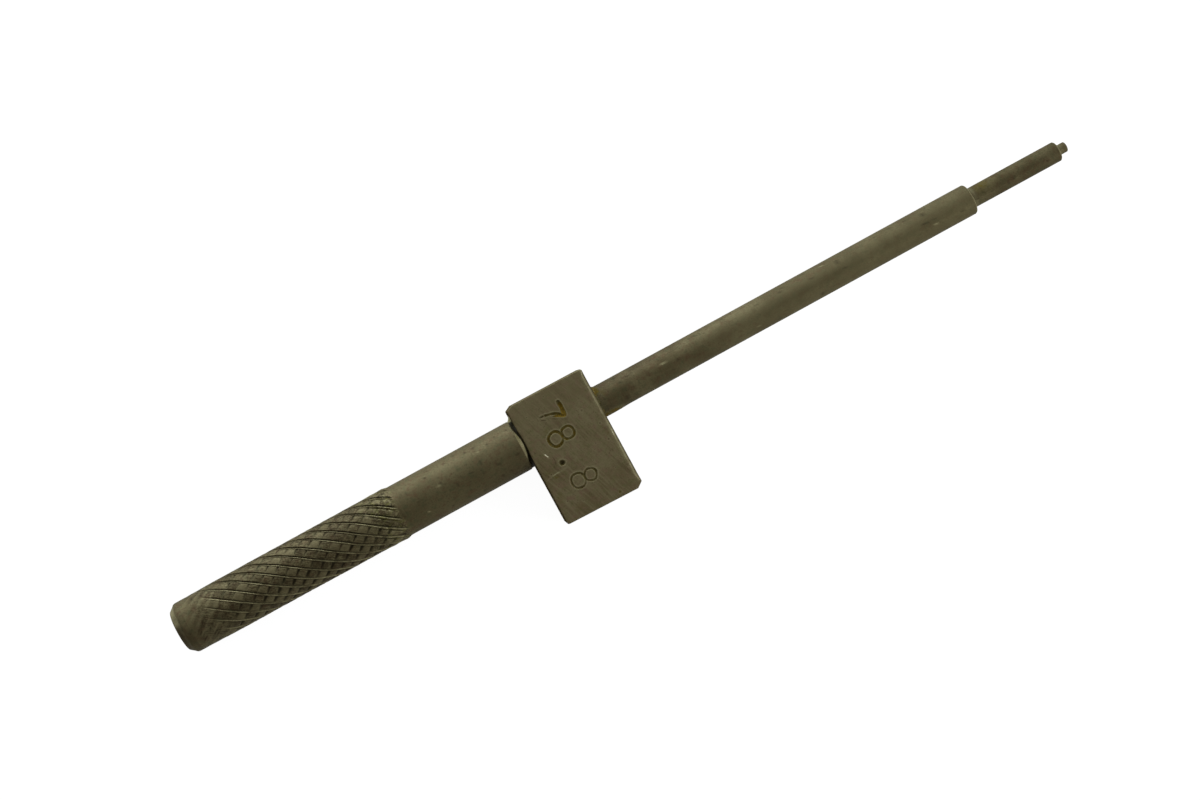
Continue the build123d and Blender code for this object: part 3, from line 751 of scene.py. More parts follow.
def stamped(q):
    """Height and finish of the stamped face at points q, from the plain face."""
    h = np.zeros(len(q))
    cavity, rust, worn = np.zeros(len(q)), np.zeros(len(q)), np.zeros(len(q))
    cut = np.zeros(len(q))
    for i, line in enumerate(STROKES):
        d, u = nearest(q, line[:, :2])
        at = np.linspace(0, 1, len(line))
        seg = np.linalg.norm(np.diff(line[:, :2], axis=0), axis=1)
        at = np.concatenate([[0], np.cumsum(seg)]) / seg.sum()
        w, dep, darkening, stain = (np.interp(u, at, line[:, k]) for k in (2, 3, 4, 5))
        uneven = 1 + 0.20 * noise(q[:, 0] * 2.2, q[:, 1] * 2.2, 0, 101 + i)
        depth = dep * uneven
        x = np.clip(d / w, 0, 2)
        prof = np.clip(1.22 * (1 - x ** 1.5), 0, 1)
        cut = np.maximum(cut, depth * prof)
        h = h + 0.026 * uneven * bump(d, w + 0.085, 0.080) * np.clip(dep / 0.13, 0, 1)
        cavity = np.maximum(cavity, darkening * step(1.08, 0.50, x) * (0.85 + 0.3 * noise(q[:, 0] * 4, q[:, 1] * 4, 0, 131)))
        rust = np.maximum(rust, stain * step(1.18, 0.75, x))
        worn = np.maximum(worn, 0.42 * bump(d, w + 0.10, 0.09) * np.clip(dep / 0.12, 0, 1))
    for poly, w, depth, bright in SCRATCHES:
        d, u = nearest(q, poly)
        ends = np.clip(np.minimum(u, 1 - u) * 6, 0, 1)
        g = bump(d, 0, w) * (0.35 + 0.65 * ends)
        cut = np.maximum(cut, depth * g)
        h = h + 0.35 * depth * bump(d, 1.7 * w, 0.7 * w)
        if bright > 0:
            worn = np.maximum(worn, bright * g)
        else:
            cavity = np.maximum(cavity, -bright * g)
    # the point of the size: a punched dot with sloping sides, dirt at its bottom and a raised rim
    d = np.hypot(q[:, 0] - DOT[0], q[:, 1] - DOT[1])
    a = np.arctan2(q[:, 1] - DOT[1], q[:, 0] - DOT[0])
    rad = DOT[2] * (1 + 0.05 * np.cos(2 * a + 0.9) + 0.03 * np.cos(3 * a))
    cut = np.maximum(cut, DOT[3] * np.clip(1 - (d / rad) ** 1.7, 0, 1))
    h = h + 0.030 * bump(d, rad + 0.12, 0.11)
    off = np.hypot(q[:, 0] - DOT[0] - 0.03, q[:, 1] - DOT[1] - 0.07) / rad
    cavity = np.maximum(cavity, step(1.02, 0.45, off))
    rust = np.maximum(rust, 0.45 * step(1.05, 0.80, d / rad) * (1 - step(0.95, 0.45, off)))
    worn = np.maximum(worn, 0.30 * bump(d, rad + 0.12, 0.10))
    for x, y, rad, depth in POCKS:
        d = np.hypot(q[:, 0] - x, q[:, 1] - y) / rad
        cut = np.maximum(cut, depth * bump(d, 0, 0.8))
        cavity = np.maximum(cavity, 0.55 * bump(d, 0.1, 0.65))
        worn = np.maximum(worn, 0.22 * bump(d, 1.5, 0.45))
    # old stains: brown under the long scratch, and beside the figures
    for x, y, rx, ry, much in ((71.9, -7.95, 0.85, 0.38, 0.50), (74.05, 0.05, 0.75, 0.50, 0.42), (71.1, -6.8, 0.9, 0.5, 0.30), (70.7, -11.6, 0.8, 1.3, 0.30),
                               (84.0, -8.2, 0.35, 0.9, 0.40), (80.61, -15.86, 0.42, 0.42, 0.45), (72.9, -14.7, 1.2, 0.9, 0.25), (83.6, -5.4, 0.5, 0.4, 0.3)):
        f = np.exp(-((q[:, 0] - x) / rx) ** 2 - ((q[:, 1] - y) / ry) ** 2)
        rust = np.maximum(rust, much * f * (0.8 + 0.4 * noise(q[:, 0] * 2, q[:, 1] * 2, 2.0, 141)))
    return h - cut, cavity, rust, worn


def notch(p):
    """Where the grip's chamfer sits against it, the block's top back edge is rubbed away into a shallow hollow, which
    loop_at paints black as shade.
    """
    x, y, z = p[:, 0], p[:, 1], p[:, 2]
    n = 0.13 * np.clip(1 - ((y - 0.05) / 2.55) ** 2, 0, 1) ** 0.8
    return n * step(3.15, 4.10, z) * (1 - step(X0 + 0.1, X0 + 1.3, x))


def make_block():
    s = Shell()
    pts, side, inward = outline()
    n = len(pts)
    flat = side >= 0

    def breaks(top):
        eb = np.full(n, 0.15)
        if top:
            room = np.minimum(NEAR[1] - 0.30 - pts[:, 1], pts[:, 1] - FAR[1] - 0.90)
            eb = np.where(side == 4, 0.17 + 0.39 * step(0.0, 0.75, room), eb)        # gauging face
            eb = np.where(side == 0, 0.13, eb)        # back face
        kernel = np.array((1, 2, 3, 2, 1)) / 9
        wide = np.concatenate([eb[-2:], eb, eb[:2]])
        eb = np.convolve(wide, kernel, "valid")
        corner = ~flat
        eb = np.where(corner, np.minimum(eb, 0.17), eb)
        rough = noise(pts[:, 0] * 0.9, pts[:, 1] * 0.9, 5.0 if top else 1.0, 111)
        fine = noise(pts[:, 0] * 2.7, pts[:, 1] * 2.7, 5.0 if top else 1.0, 112)
        return eb * (1 + 0.10 * rough + 0.07 * fine)

    eb_top, eb_bot = breaks(True), breaks(False)
    prof = ((0.0, 1.10), (0.07, 0.84), (0.46, 0.45), (0.86, 0.07), (1.12, 0.0))
    zs_mid = np.linspace(-HALF_Z + 0.46, HALF_Z - 0.46, 12)
    loops = []

    def loop_at(inset, z, worn, cavity=0.0, rust=0.0, black=True):
        xy = pts + inward * np.broadcast_to(inset, (n,))[:, None]
        p = np.column_stack([xy, np.broadcast_to(z, (n,))])
        hollow = notch(p)
        p[:, 0] += hollow
        # Painted shade: the hollow is made black where the grip's chamfer meets the block.
        if black:
            cavity = np.maximum(cavity, step(0.02, 0.08, hollow))
        ids = s.add(p, worn=worn, cavity=cavity, rust=rust)
        loops.append((ids, p))
        return ids

    # which edge each point is on, so that every edge can be worn, dirty, or given painted highlight and shade in its
    # own way
    label = side.copy()
    for k in range(2 * n):
        if label[k % n] < 0 and label[(k - 1) % n] >= 0:
            label[k % n] = label[(k - 1) % n]

    def by_side(*values):
        v = np.array(values, float)[label]
        wide = np.concatenate([v[-3:], v, v[:3]])
        return np.convolve(wide, np.array((1, 2, 3, 4, 3, 2, 1)) / 16, "valid")

    patchy = 0.80 + 0.45 * noise(pts[:, 0] * 1.3, pts[:, 1] * 1.3, 2.0, 113) + 0.25 * noise(pts[:, 0] * 4.1, pts[:, 1] * 4.1, 2.0, 114)
    # sides: back wall, back far corner, far edge, far front corner, gauging face, near front corner, near edge, near back corner
    # bright is wear on the edge breaks together with a painted highlight. It is strongest on the gauging face's bevel,
    # which faces +X, and weakest on the back wall.
    bright = by_side(0.02, 0.05, 0.30, 0.40, 1.00, 0.50, 0.26, 0.20) * patchy
    # Painted shade with some dirt: the outer rim of the top edge breaks is darkened, giving a dark outline round the
    # face, and the back edge is darker still away from the rod.
    edge_dirt_and_shade = by_side(1.00, 1.00, 0.95, 0.90, 0.90, 0.75, 0.72, 0.80)
    edge_dirt_and_shade = np.clip(edge_dirt_and_shade * (1 + 0.3 * noise(pts[:, 0] * 1.9, pts[:, 1] * 1.9, 7.0, 115)), 0, 1)
    beside = bump(pts[:, 1], -0.9, 2.2) * (label == 4)  # by the rod the bevel is greyer
    # Painted shade with some dark oxide: the walls are darkened, most of all the back wall, which faces away from the
    # light.
    wall_dirt_and_shade = by_side(1.00, 0.95, 0.60, 0.50, 0.30, 0.40, 0.50, 0.75)
    for k, (u, v) in enumerate(reversed(prof)):
        loop_at(eb_bot * u, -HALF_Z + eb_bot * v, np.clip((0.15, 0.45, 0.5, 0.45, 0.2)[k] * patchy, 0, 1), 0.15 * wall_dirt_and_shade)
    n_low = len(loops)
    for z in zs_mid:
        pt = noise(pts[:, 0] * 0.8, pts[:, 1] * 0.8, z * 0.8, 116)
        loop_at(0.0, z, 0.0, np.clip(wall_dirt_and_shade * (1 + 0.4 * pt), 0, 1), np.clip(0.35 * pt, 0, 1))
    n_high = len(loops)
    for k, (u, v) in enumerate(prof):
        w = (0.0, 0.12, 0.70, 1.0, 0.35)[k] * bright * (1 - 0.25 * beside)
        c = edge_dirt_and_shade * (1.0, 0.95, 0.22, 0.0, 0.0)[k] + 0.22 * (label == 0) * (k > 1) * (1 - step(2.0, 3.2, np.abs(pts[:, 1])))
        loop_at(eb_top * u, HALF_Z - eb_top * v, np.clip(w, 0, 1), np.clip(c, 0, 1), np.clip(0.06 * bright, 0, 1), k < 3)

    back = np.nonzero(side == 0)[0]
    front = np.nonzero(side == 4)[0]
    lo, hi = n_low - 1, n_high  # the walls run between these loops

    def in_wall(k, cols):
        return (k in cols) and ((k + 1) % n in cols)

    back_set, front_set = set(back.tolist()), set(front.tolist())
    for li in range(len(loops) - 1):
        a, b = loops[li][0], loops[li + 1][0]
        wall = lo <= li < hi
        for k in range(n):
            if wall and (in_wall(k, back_set) or in_wall(k, front_set)):
                continue
            s.faces.append((a[k], a[(k + 1) % n], b[(k + 1) % n], b[k]))

    # the two walls that the bore goes through
    rims = {}
    for name, cols, x, rad in (("back", back, BACK, 2.93), ("front", front, FACE, 3.45)):
        ring_n = 96
        th = np.arange(ring_n) * TAU / ring_n
        ring = round_points(np.full(ring_n, x), th, np.full(ring_n, rad))
        order = []
        for li in range(lo, hi + 1):
            order.append(loops[li][0][cols[0]])
        for k in cols[1:-1]:
            order.append(loops[hi][0][k])
        for li in range(hi, lo - 1, -1):
            order.append(loops[li][0][cols[-1]])
        for k in cols[-2:0:-1]:
            order.append(loops[lo][0][k])
        border = np.array(order)
        allp = s.points()
        bp = allp[border]
        yy = np.arange(bp[:, 1].min() + 0.35, bp[:, 1].max() - 0.2, 0.42)
        zz = np.arange(bp[:, 2].min() + 0.35, bp[:, 2].max() - 0.2, 0.42)
        gy, gz = np.meshgrid(yy, zz)
        gy, gz = gy.ravel() + 0.05 * noise(gy.ravel() * 3, gz.ravel() * 3, 0, 120), gz.ravel() + 0.05 * noise(gy.ravel() * 3, gz.ravel() * 3, 1, 120)
        ok = np.hypot(gy, gz) > rad + 0.30
        gy, gz = gy[ok], gz[ok]
        inner = np.column_stack([np.full(len(gy), x), gy, gz])
        ring2 = round_points(np.full(ring_n, x), th + math.pi / ring_n, np.full(ring_n, rad + 0.16))
        # The back face, against the grip, is darkened as painted shade together with dark oxide; the gauging face is
        # darkened only a little.
        face_dirt_and_shade = 0.90 if name == "back" else 0.12
        rid = s.add(ring, cavity=max(0.5, face_dirt_and_shade))
        r2id = s.add(ring2, cavity=face_dirt_and_shade + 0.1)
        iid = s.add(inner, cavity=np.clip(face_dirt_and_shade * (1 + 0.5 * noise(gy, gz, 3.0, 121)), 0, 1), rust=np.clip(0.4 * noise(gy * 0.7, gz * 0.7, 1.0, 122), 0, 1))
        ids = np.concatenate([border, rid, r2id, iid])
        xy = np.concatenate([bp[:, 1:], ring[:, 1:], ring2[:, 1:], inner[:, 1:]])
        nb = len(border)
        edges = [(k, (k + 1) % nb) for k in range(nb)] + [(nb + k, nb + (k + 1) % ring_n) for k in range(ring_n)]
        out = delaunay_2d_cdt([Vector(p) for p in xy], edges, [], 1, 1e-7)
        remap = [orig[0] for orig in out[3]]
        for f in out[2]:
            tri = [remap[v] for v in f]
            c = xy[tri].mean(0)
            if math.hypot(*c) < rad - 1e-4:
                continue
            s.faces.append(tuple(ids[v] for v in tri))
        rims[name] = (rid, th)

    # bore, with the countersink that holds the front fillet
    t = Turned(s)
    t.last = rims["front"]
    for X, r in ((X1 - 0.25, 3.19), (X1 - 0.5, 2.93), (80.0, 2.93), (75.0, 2.93)):
        t.ring(X, r, 96, plain_finish(cavity=1.0))
    t.join(*rims["back"])

    # broad faces
    for top in (True, False):
        ids_loop, p_loop = loops[-1] if top else loops[0]
        allp = s.points()
        bp = allp[ids_loop]
        x = np.arange(X0 + 0.3, X1 - 0.2, 0.40)
        y = np.arange(FAR[1] + 0.3, NEAR[0] - 0.2, 0.40)
        gx, gy = np.meshgrid(x, y)
        jit = 0.12
        grid = np.stack([gx.ravel() + jit * noise(gx.ravel() * 7, gy.ravel() * 7, 0, 130), gy.ravel() + jit * noise(gx.ravel() * 7, gy.ravel() * 7, 1, 130)], -1)
        extra = []
        if top:
            for curve in STROKES:
                line, _u = resample(curve[:, :2], 0.080)
                w = float(curve[:, 2].max())
                tan = np.gradient(line, axis=0)
                tan /= np.linalg.norm(tan, axis=1)[:, None]
                nor = np.stack([-tan[:, 1], tan[:, 0]], -1)
                for off in (0, 0.25, 0.50, 0.75, 1.0, 1.25, 1.55, 2.0):
                    for sign in (1, -1):
                        if off == 0 and sign < 0:
                            continue
                        extra.append(line + nor * off * w * sign)
                # caps
                for end, d in ((line[0], -tan[0]), (line[-1], tan[-1])):
                    a0 = math.atan2(d[1], d[0])
                    for off in (0.42, 0.70, 1.0, 1.25, 1.6):
                        for k in np.linspace(-1.4, 1.4, 9):
                            extra.append(np.array([[end[0] + off * w * math.cos(a0 + k), end[1] + off * w * math.sin(a0 + k)]]))
            for poly, w, *_ in SCRATCHES:
                line, _u = resample(poly, 0.10)
                tan = np.gradient(line, axis=0)
                tan /= np.linalg.norm(tan, axis=1)[:, None]
                nor = np.stack([-tan[:, 1], tan[:, 0]], -1)
                for off in (-2.2, -1.2, -0.5, 0, 0.5, 1.2, 2.2):
                    extra.append(line + nor * off * w)
            for rad in (0.001, 0.11, 0.22, 0.31, 0.39, 0.46, 0.51, 0.56, 0.60, 0.65, 0.71, 0.79, 0.90):
                m = max(1, int(TAU * rad / 0.06))
                k = np.arange(m) * TAU / m
                extra.append(np.stack([DOT[0] + rad * np.cos(k), DOT[1] + rad * np.sin(k)], -1))
            for x_, y_, rad_, _d in POCKS:
                for rad in (0.001, 0.35 * rad_, 0.75 * rad_, 1.15 * rad_, 1.6 * rad_, 2.1 * rad_):
                    m = max(1, int(TAU * rad / 0.07))
                    k = np.arange(m) * TAU / m
                    extra.append(np.stack([x_ + rad * np.cos(k), y_ + rad * np.sin(k)], -1))
        fine = np.concatenate(extra) if extra else np.zeros((0, 2))
        # leave out points that crowd another, and those outside the face's own loop
        cell = {}
        chosen = []

        def crowd(p, gap):
            i, j = math.floor(p[0] / 0.1), math.floor(p[1] / 0.1)
            for di in (-1, 0, 1):
                for dj in (-1, 0, 1):
                    for q in cell.get((i + di, j + dj), ()):
                        if (p[0] - q[0]) ** 2 + (p[1] - q[1]) ** 2 < gap * gap:
                            return True
            return False

        def put(p):
            cell.setdefault((math.floor(p[0] / 0.1), math.floor(p[1] / 0.1)), []).append(p)

        for p in bp[:, :2]:
            put(p)
        for p in fine:
            if not crowd(p, 0.030):
                put(p)
                chosen.append(p)
        for p in grid:
            if not crowd(p, 0.095):
                put(p)
                chosen.append(p)
        chosen = np.array(chosen)
        # inside the loop, and not too near it
        a, b = bp[:, :2], np.roll(bp[:, :2], -1, 0)
        inside = np.zeros(len(chosen), bool)
        near = np.full(len(chosen), 1e9)
        for p, q in zip(a, b):
            cross = ((p[1] > chosen[:, 1]) != (q[1] > chosen[:, 1]))
            with np.errstate(divide="ignore", invalid="ignore"):
                xi = (q[0] - p[0]) * (chosen[:, 1] - p[1]) / (q[1] - p[1]) + p[0]
            inside ^= cross & (chosen[:, 0] < xi)
            d = q - p
            u = np.clip(((chosen - p) @ d) / max(d @ d, 1e-12), 0, 1)
            near = np.minimum(near, np.linalg.norm(chosen - p - u[:, None] * d, axis=1))
        chosen = chosen[inside & (near > 0.10)]
        wave = 0.010 * fbm(chosen[:, 0] * 0.22, chosen[:, 1] * 0.22, 0 if top else 9, 140)
        wave *= np.clip(near[inside & (near > 0.10)] / 0.8, 0, 1)
        if top:
            h, cavity, rust, worn = stamped(chosen)
            # Painted light: the face is made lighter towards +Y, the side of the key light.
            lighter = 0.10 + 0.50 * step(-1.0, 5.5, chosen[:, 1]) + 0.10 * noise(chosen[:, 0] * 0.4, chosen[:, 1] * 0.4, 6.0, 142)
            iid = s.add(np.column_stack([chosen, HALF_Z + h + wave]), cavity=cavity, rust=rust, worn=worn, tone=lighter)
        else:
            iid = s.add(np.column_stack([chosen, -HALF_Z - wave]))
        ids = np.concatenate([ids_loop, iid])
        xy = np.concatenate([bp[:, :2], chosen])
        nb = len(ids_loop)
        out = delaunay_2d_cdt([Vector(p) for p in xy], [(k, (k + 1) % nb) for k in range(nb)], [], 1, 1e-7)
        remap = [orig[0] for orig in out[3]]
        for f in out[2]:
            s.faces.append(tuple(ids[remap[v]] for v in f))
    return s.build("gauge_block_visual", crease=32)


# ---------------------------------------------------------------------------
# Braze
# ---------------------------------------------------------------------------
def sweep_bead(name, angles, section, finish):
    """A closed bead swept round X: section(th) gives its (X, r) points at one angle."""
    s = Shell()
    rows = []
    for th in angles:
        sec = np.array(section(th))
        p = round_points(sec[:, 0], np.full(len(sec), th), sec[:, 1])
        rows.append(s.add(p, **finish(sec[:, 0], np.full(len(sec), th), sec[:, 1])))
    for a, b in zip(rows[:-1], rows[1:]):
        m = len(a)
        for k in range(m):
            s.faces.append((a[k], a[(k + 1) % m], b[(k + 1) % m], b[k]))
    for row in (rows[0], rows[-1]):
        s.faces.append(tuple(row))
    return s.build(name, crease=50)


def make_beads():
    made = []
    # near side: a concave flare that climbs the block's face
    centre = -math.pi / 2

    def flare(th):
        """1 where the filler climbs the block's face, falling to 0 where it only lies in the bottom of the groove."""
        a = np.abs(np.asarray(th, float) - centre) / math.radians(30)
        return np.clip(1 - a ** 2.4, 0, 1) ** 0.8

    def near_section(th):
        full = float(flare(th))
        end = max(0.0, 1 - (abs(th - centre) / math.radians(57)) ** 6)
        n1 = float(noise(th * 5.0, 0.3, 0, 151))
        n2 = float(noise(th * 11.0, 2.3, 0, 152))
        low = 4.22 + 0.10 * end * (1 + 0.5 * n1)
        top = low + (6.00 - low) * full * (1 + 0.03 * n1)
        foot = X0 - (0.27 + 0.12 * end + 0.36 * full * (1 + 0.08 * n2))
        start = GRIP_R - max(0.0, foot - (X0 - 0.83))
        start = min(start, low + (GRIP_R - low) * min(1.0, full * 1.6)) - 0.02
        pts = []
        for k in range(9):
            q = k / 8
            # concave run from the grip's rim to the block
            x = foot + (X0 - foot) * (1 - (1 - q) ** 1.4)
            r = start + (top - start) * q ** 1.4
            r += 0.02 * float(noise(th * 14, q * 5, 0, 153)) * math.sin(q * math.pi)
            pts.append((min(x, X0 - 0.002), r))
        pts.append((X0 + 0.0, pts[-1][1] - 0.02))
        pts.append((X0 + 0.0, 4.17))
        return pts

    def near_finish(X, th, r):
        x, y, z = xyz(X, th, r)
        up = flare(th)
        # Painted highlight together with the braze's own lighter metal on the flare's outer part, which faces the
        # light. Below it, the groove is painted black as shade, together with dark flux.
        return dict(worn=np.clip((0.75 + 0.5 * fbm(x * 2, y * 2, z * 2, 155)) * step(4.42, 4.74, y), 0, 1),
                    cavity=np.clip(step(4.74, 4.42, y), 0, 1), rust=0.12 * up, tone=0 * X)

    angles = np.linspace(centre - math.radians(56), centre + math.radians(56), 61)
    made.append((sweep_bead("braze_near_visual", angles, near_section, near_finish), "braze_near"))

    # far side: almost flush, and black: dark flux together with painted shade
    def far_section(th):
        u = abs(th - math.pi / 2) / math.radians(55)
        full = math.sqrt(max(0.0, 1 - u ** 2.2))
        n1 = float(noise(th * 7.0, 5.3, 0, 161))
        top = 4.22 + (4.75 - 4.22) * full * (1 + 0.04 * n1)
        foot = X0 - 0.24 - 0.52 * full
        base = 4.80 - (foot - (X0 - 0.83))
        pts = []
        for k in range(6):
            q = k / 5
            pts.append((min(foot + (X0 - foot) * q, X0 - 0.002), base + (top - base) * q - 0.06 * math.sin(q * math.pi)))
        pts.append((X0, pts[-1][1] - 0.02))
        pts.append((X0, 4.17))
        return pts

    def far_finish(X, th, r):
        return dict(cavity=1.0 + 0 * X, rust=0.1 + 0 * X, worn=0 * X, tone=0 * X)

    angles = np.linspace(math.pi / 2 - math.radians(54), math.pi / 2 + math.radians(54), 49)
    made.append((sweep_bead("braze_far_visual", angles, far_section, far_finish), "braze_far"))

    # front: fills the countersink and runs out on the rod
    s = Shell()
    rows = []
    n = 144
    th = np.arange(n) * TAU / n
    lump = fbm(0.0, np.cos(th) * 2.2, np.sin(th) * 2.2, 171)
    fine = fbm(3.0, np.cos(th) * 6.0, np.sin(th) * 6.0, 172)
    run = 0.34 + 0.08 * lump + 0.04 * fine
    run = run + 0.14 * bump(-np.sin(th), 0.70, 0.25) * (np.cos(th) > 0) + 0.14 * bump(-np.sin(th), -0.95, 0.25) + 0.42 * step(0.80, 1.0, -np.sin(th))
    prof = ((-0.48, 2.94, 1.0), (-0.25, 3.19, 1.0), (-0.004, 3.43, 1.0), (0.0, 3.36, 0.9))
    for x, r, c in prof:
        rows.append((np.full(n, X1 + x), np.full(n, r), c))
    for q in (0.06, 0.14, 0.24, 0.36, 0.50, 0.66, 0.83, 1.0):
        x = X1 + run * q
        r = ROD_R + 0.015 + (0.30 + 0.05 * lump + 0.16 * step(0.75, 1.0, -np.sin(th))) * (1 - q) ** 1.8 + 0.018 * fine * math.sin(q * math.pi)
        rows.append((x, np.maximum(r, ROD_R + 0.012), 0.25))
    rows.append((X1 + run + 0.0, np.full(n, ROD_R - 0.05), 0.5))
    rows.append((np.full(n, X1 - 0.48), np.full(n, ROD_R - 0.05), 1.0))
    ids = []
    for x, r, c in rows:
        yy, zz = -np.sin(th), np.cos(th)
        spots = np.clip(bump(yy, 0.70, 0.26) * (zz > 0) + bump(yy, -0.78, 0.26) * (zz > -0.3), 0, 1)
        rust = np.clip(0.16 + 0.62 * spots + 0.30 * fine, 0, 1)
        worn = np.clip(0.35 * fine, 0, 1) * (c < 0.5)
        ids.append(s.add(round_points(x, th, r), cavity=np.clip(max(c, 0.62) * (1 - 1.1 * spots), 0, 1), rust=rust, worn=worn))
    for a, b in zip(ids, ids[1:] + ids[:1]):
        for k in range(n):
            s.faces.append((a[k], a[(k + 1) % n], b[(k + 1) % n], b[k]))
    made.append((s.build("braze_front_visual", crease=50), "braze_front"))
    return made


# ---------------------------------------------------------------------------
# Materials
# ---------------------------------------------------------------------------
class Nodes:
    def __init__(self, name):
        self.mat = bpy.data.materials.new(name)
        self.mat.use_nodes = True
        self.tree = self.mat.node_tree
        self.tree.nodes.clear()
        self.out = self.tree.nodes.new("ShaderNodeOutputMaterial")
        self.bsdf = self.tree.nodes.new("ShaderNodeBsdfPrincipled")
        self.tree.links.new(self.bsdf.outputs[0], self.out.inputs["Surface"])

    def link(self, a, b):
        self.tree.links.new(a, b)

    def node(self, kind, **settings):
        nd = self.tree.nodes.new(kind)
        for k, v in settings.items():
            setattr(nd, k, v)
        return nd

    def attr(self, name, output="Fac"):
        nd = self.node("ShaderNodeAttribute", attribute_type="GEOMETRY", attribute_name=name)
        return nd.outputs[output]

    def put(self, socket, value):
        if isinstance(value, bpy.types.NodeSocket):
            self.link(value, socket)
        else:
            socket.default_value = value

    def math(self, op, a, b=0.0, c=0.0, clamp=False):
        nd = self.node("ShaderNodeMath", operation=op, use_clamp=clamp)
        self.put(nd.inputs[0], a)
        self.put(nd.inputs[1], b)
        if op in ("MULTIPLY_ADD", "COMPARE", "SMOOTH_MIN"):
            self.put(nd.inputs[2], c)
        return nd.outputs[0]

    def vmul(self, v, xyz3):
        nd = self.node("ShaderNodeVectorMath", operation="MULTIPLY")
        self.link(v, nd.inputs[0])
        nd.inputs[1].default_value = xyz3
        return nd.outputs[0]

    def rotated(self, v, degrees, scale):
        nd = self.node("ShaderNodeMapping")
        nd.vector_type = "TEXTURE"
        self.link(v, nd.inputs["Vector"])
        nd.inputs["Rotation"].default_value = (0, 0, math.radians(degrees))
        nd.inputs["Scale"].default_value = scale
        return nd.outputs[0]

    def noise(self, v, scale, detail=3.0, rough=0.5, distortion=0.0):
        nd = self.node("ShaderNodeTexNoise")
        self.link(v, nd.inputs["Vector"])
        nd.inputs["Scale"].default_value = scale
        nd.inputs["Detail"].default_value = detail
        nd.inputs["Roughness"].default_value = rough
        nd.inputs["Distortion"].default_value = distortion
        return nd.outputs["Fac"]

    def ramp(self, x, lo, hi, a=0.0, b=1.0, smooth=True):
        nd = self.node("ShaderNodeMapRange", interpolation_type="SMOOTHSTEP" if smooth else "LINEAR")
        self.put(nd.inputs["Value"], x)
        nd.inputs["From Min"].default_value = lo
        nd.inputs["From Max"].default_value = hi
        nd.inputs["To Min"].default_value = a
        nd.inputs["To Max"].default_value = b
        return nd.outputs[0]

    def mix(self, fac, a, b, blend="MIX"):
        nd = self.node("ShaderNodeMix", data_type="RGBA", blend_type=blend)
        self.put(nd.inputs[0], fac)
        self.put(nd.inputs[6], a)
        self.put(nd.inputs[7], b)
        return nd.outputs[2]

    def bump(self, height, strength, distance, normal=None):
        nd = self.node("ShaderNodeBump")
        nd.inputs["Strength"].default_value = strength
        nd.inputs["Distance"].default_value = distance
        self.link(height, nd.inputs["Height"])
        if normal is not None:
            self.link(normal, nd.inputs["Normal"])
        return nd.outputs[0]


def rgb(r, g, b):
    """A colour given in sRGB 0-255."""
    def f(c):
        c /= 255
        return c / 12.92 if c <= 0.04045 else ((c + 0.055) / 1.055) ** 2.4
    return (f(r), f(g), f(b), 1)


def stain(m, col, rust, own):
    """Old oil and rust: olive where it is thin, brown-gold, then gold where it is thick."""
    fac = m.math("MULTIPLY", rust, m.ramp(m.noise(own, 2.2, 4, 0.65), 0.34, 0.60, 0.55, 1.0), clamp=True)
    shade = m.math("ADD", fac, m.ramp(m.noise(own, 5.0, 3, 0.6), 0.35, 0.65, -0.14, 0.14))
    tint = m.mix(m.ramp(shade, 0.25, 0.70), rgb(64, 57, 18), rgb(74, 58, 14))
    tint = m.mix(m.ramp(shade, 0.74, 1.06), tint, rgb(98, 80, 20))
    much = m.math("MULTIPLY", m.ramp(fac, 0.02, 0.55), 0.90)
    return m.mix(much, col, tint), much


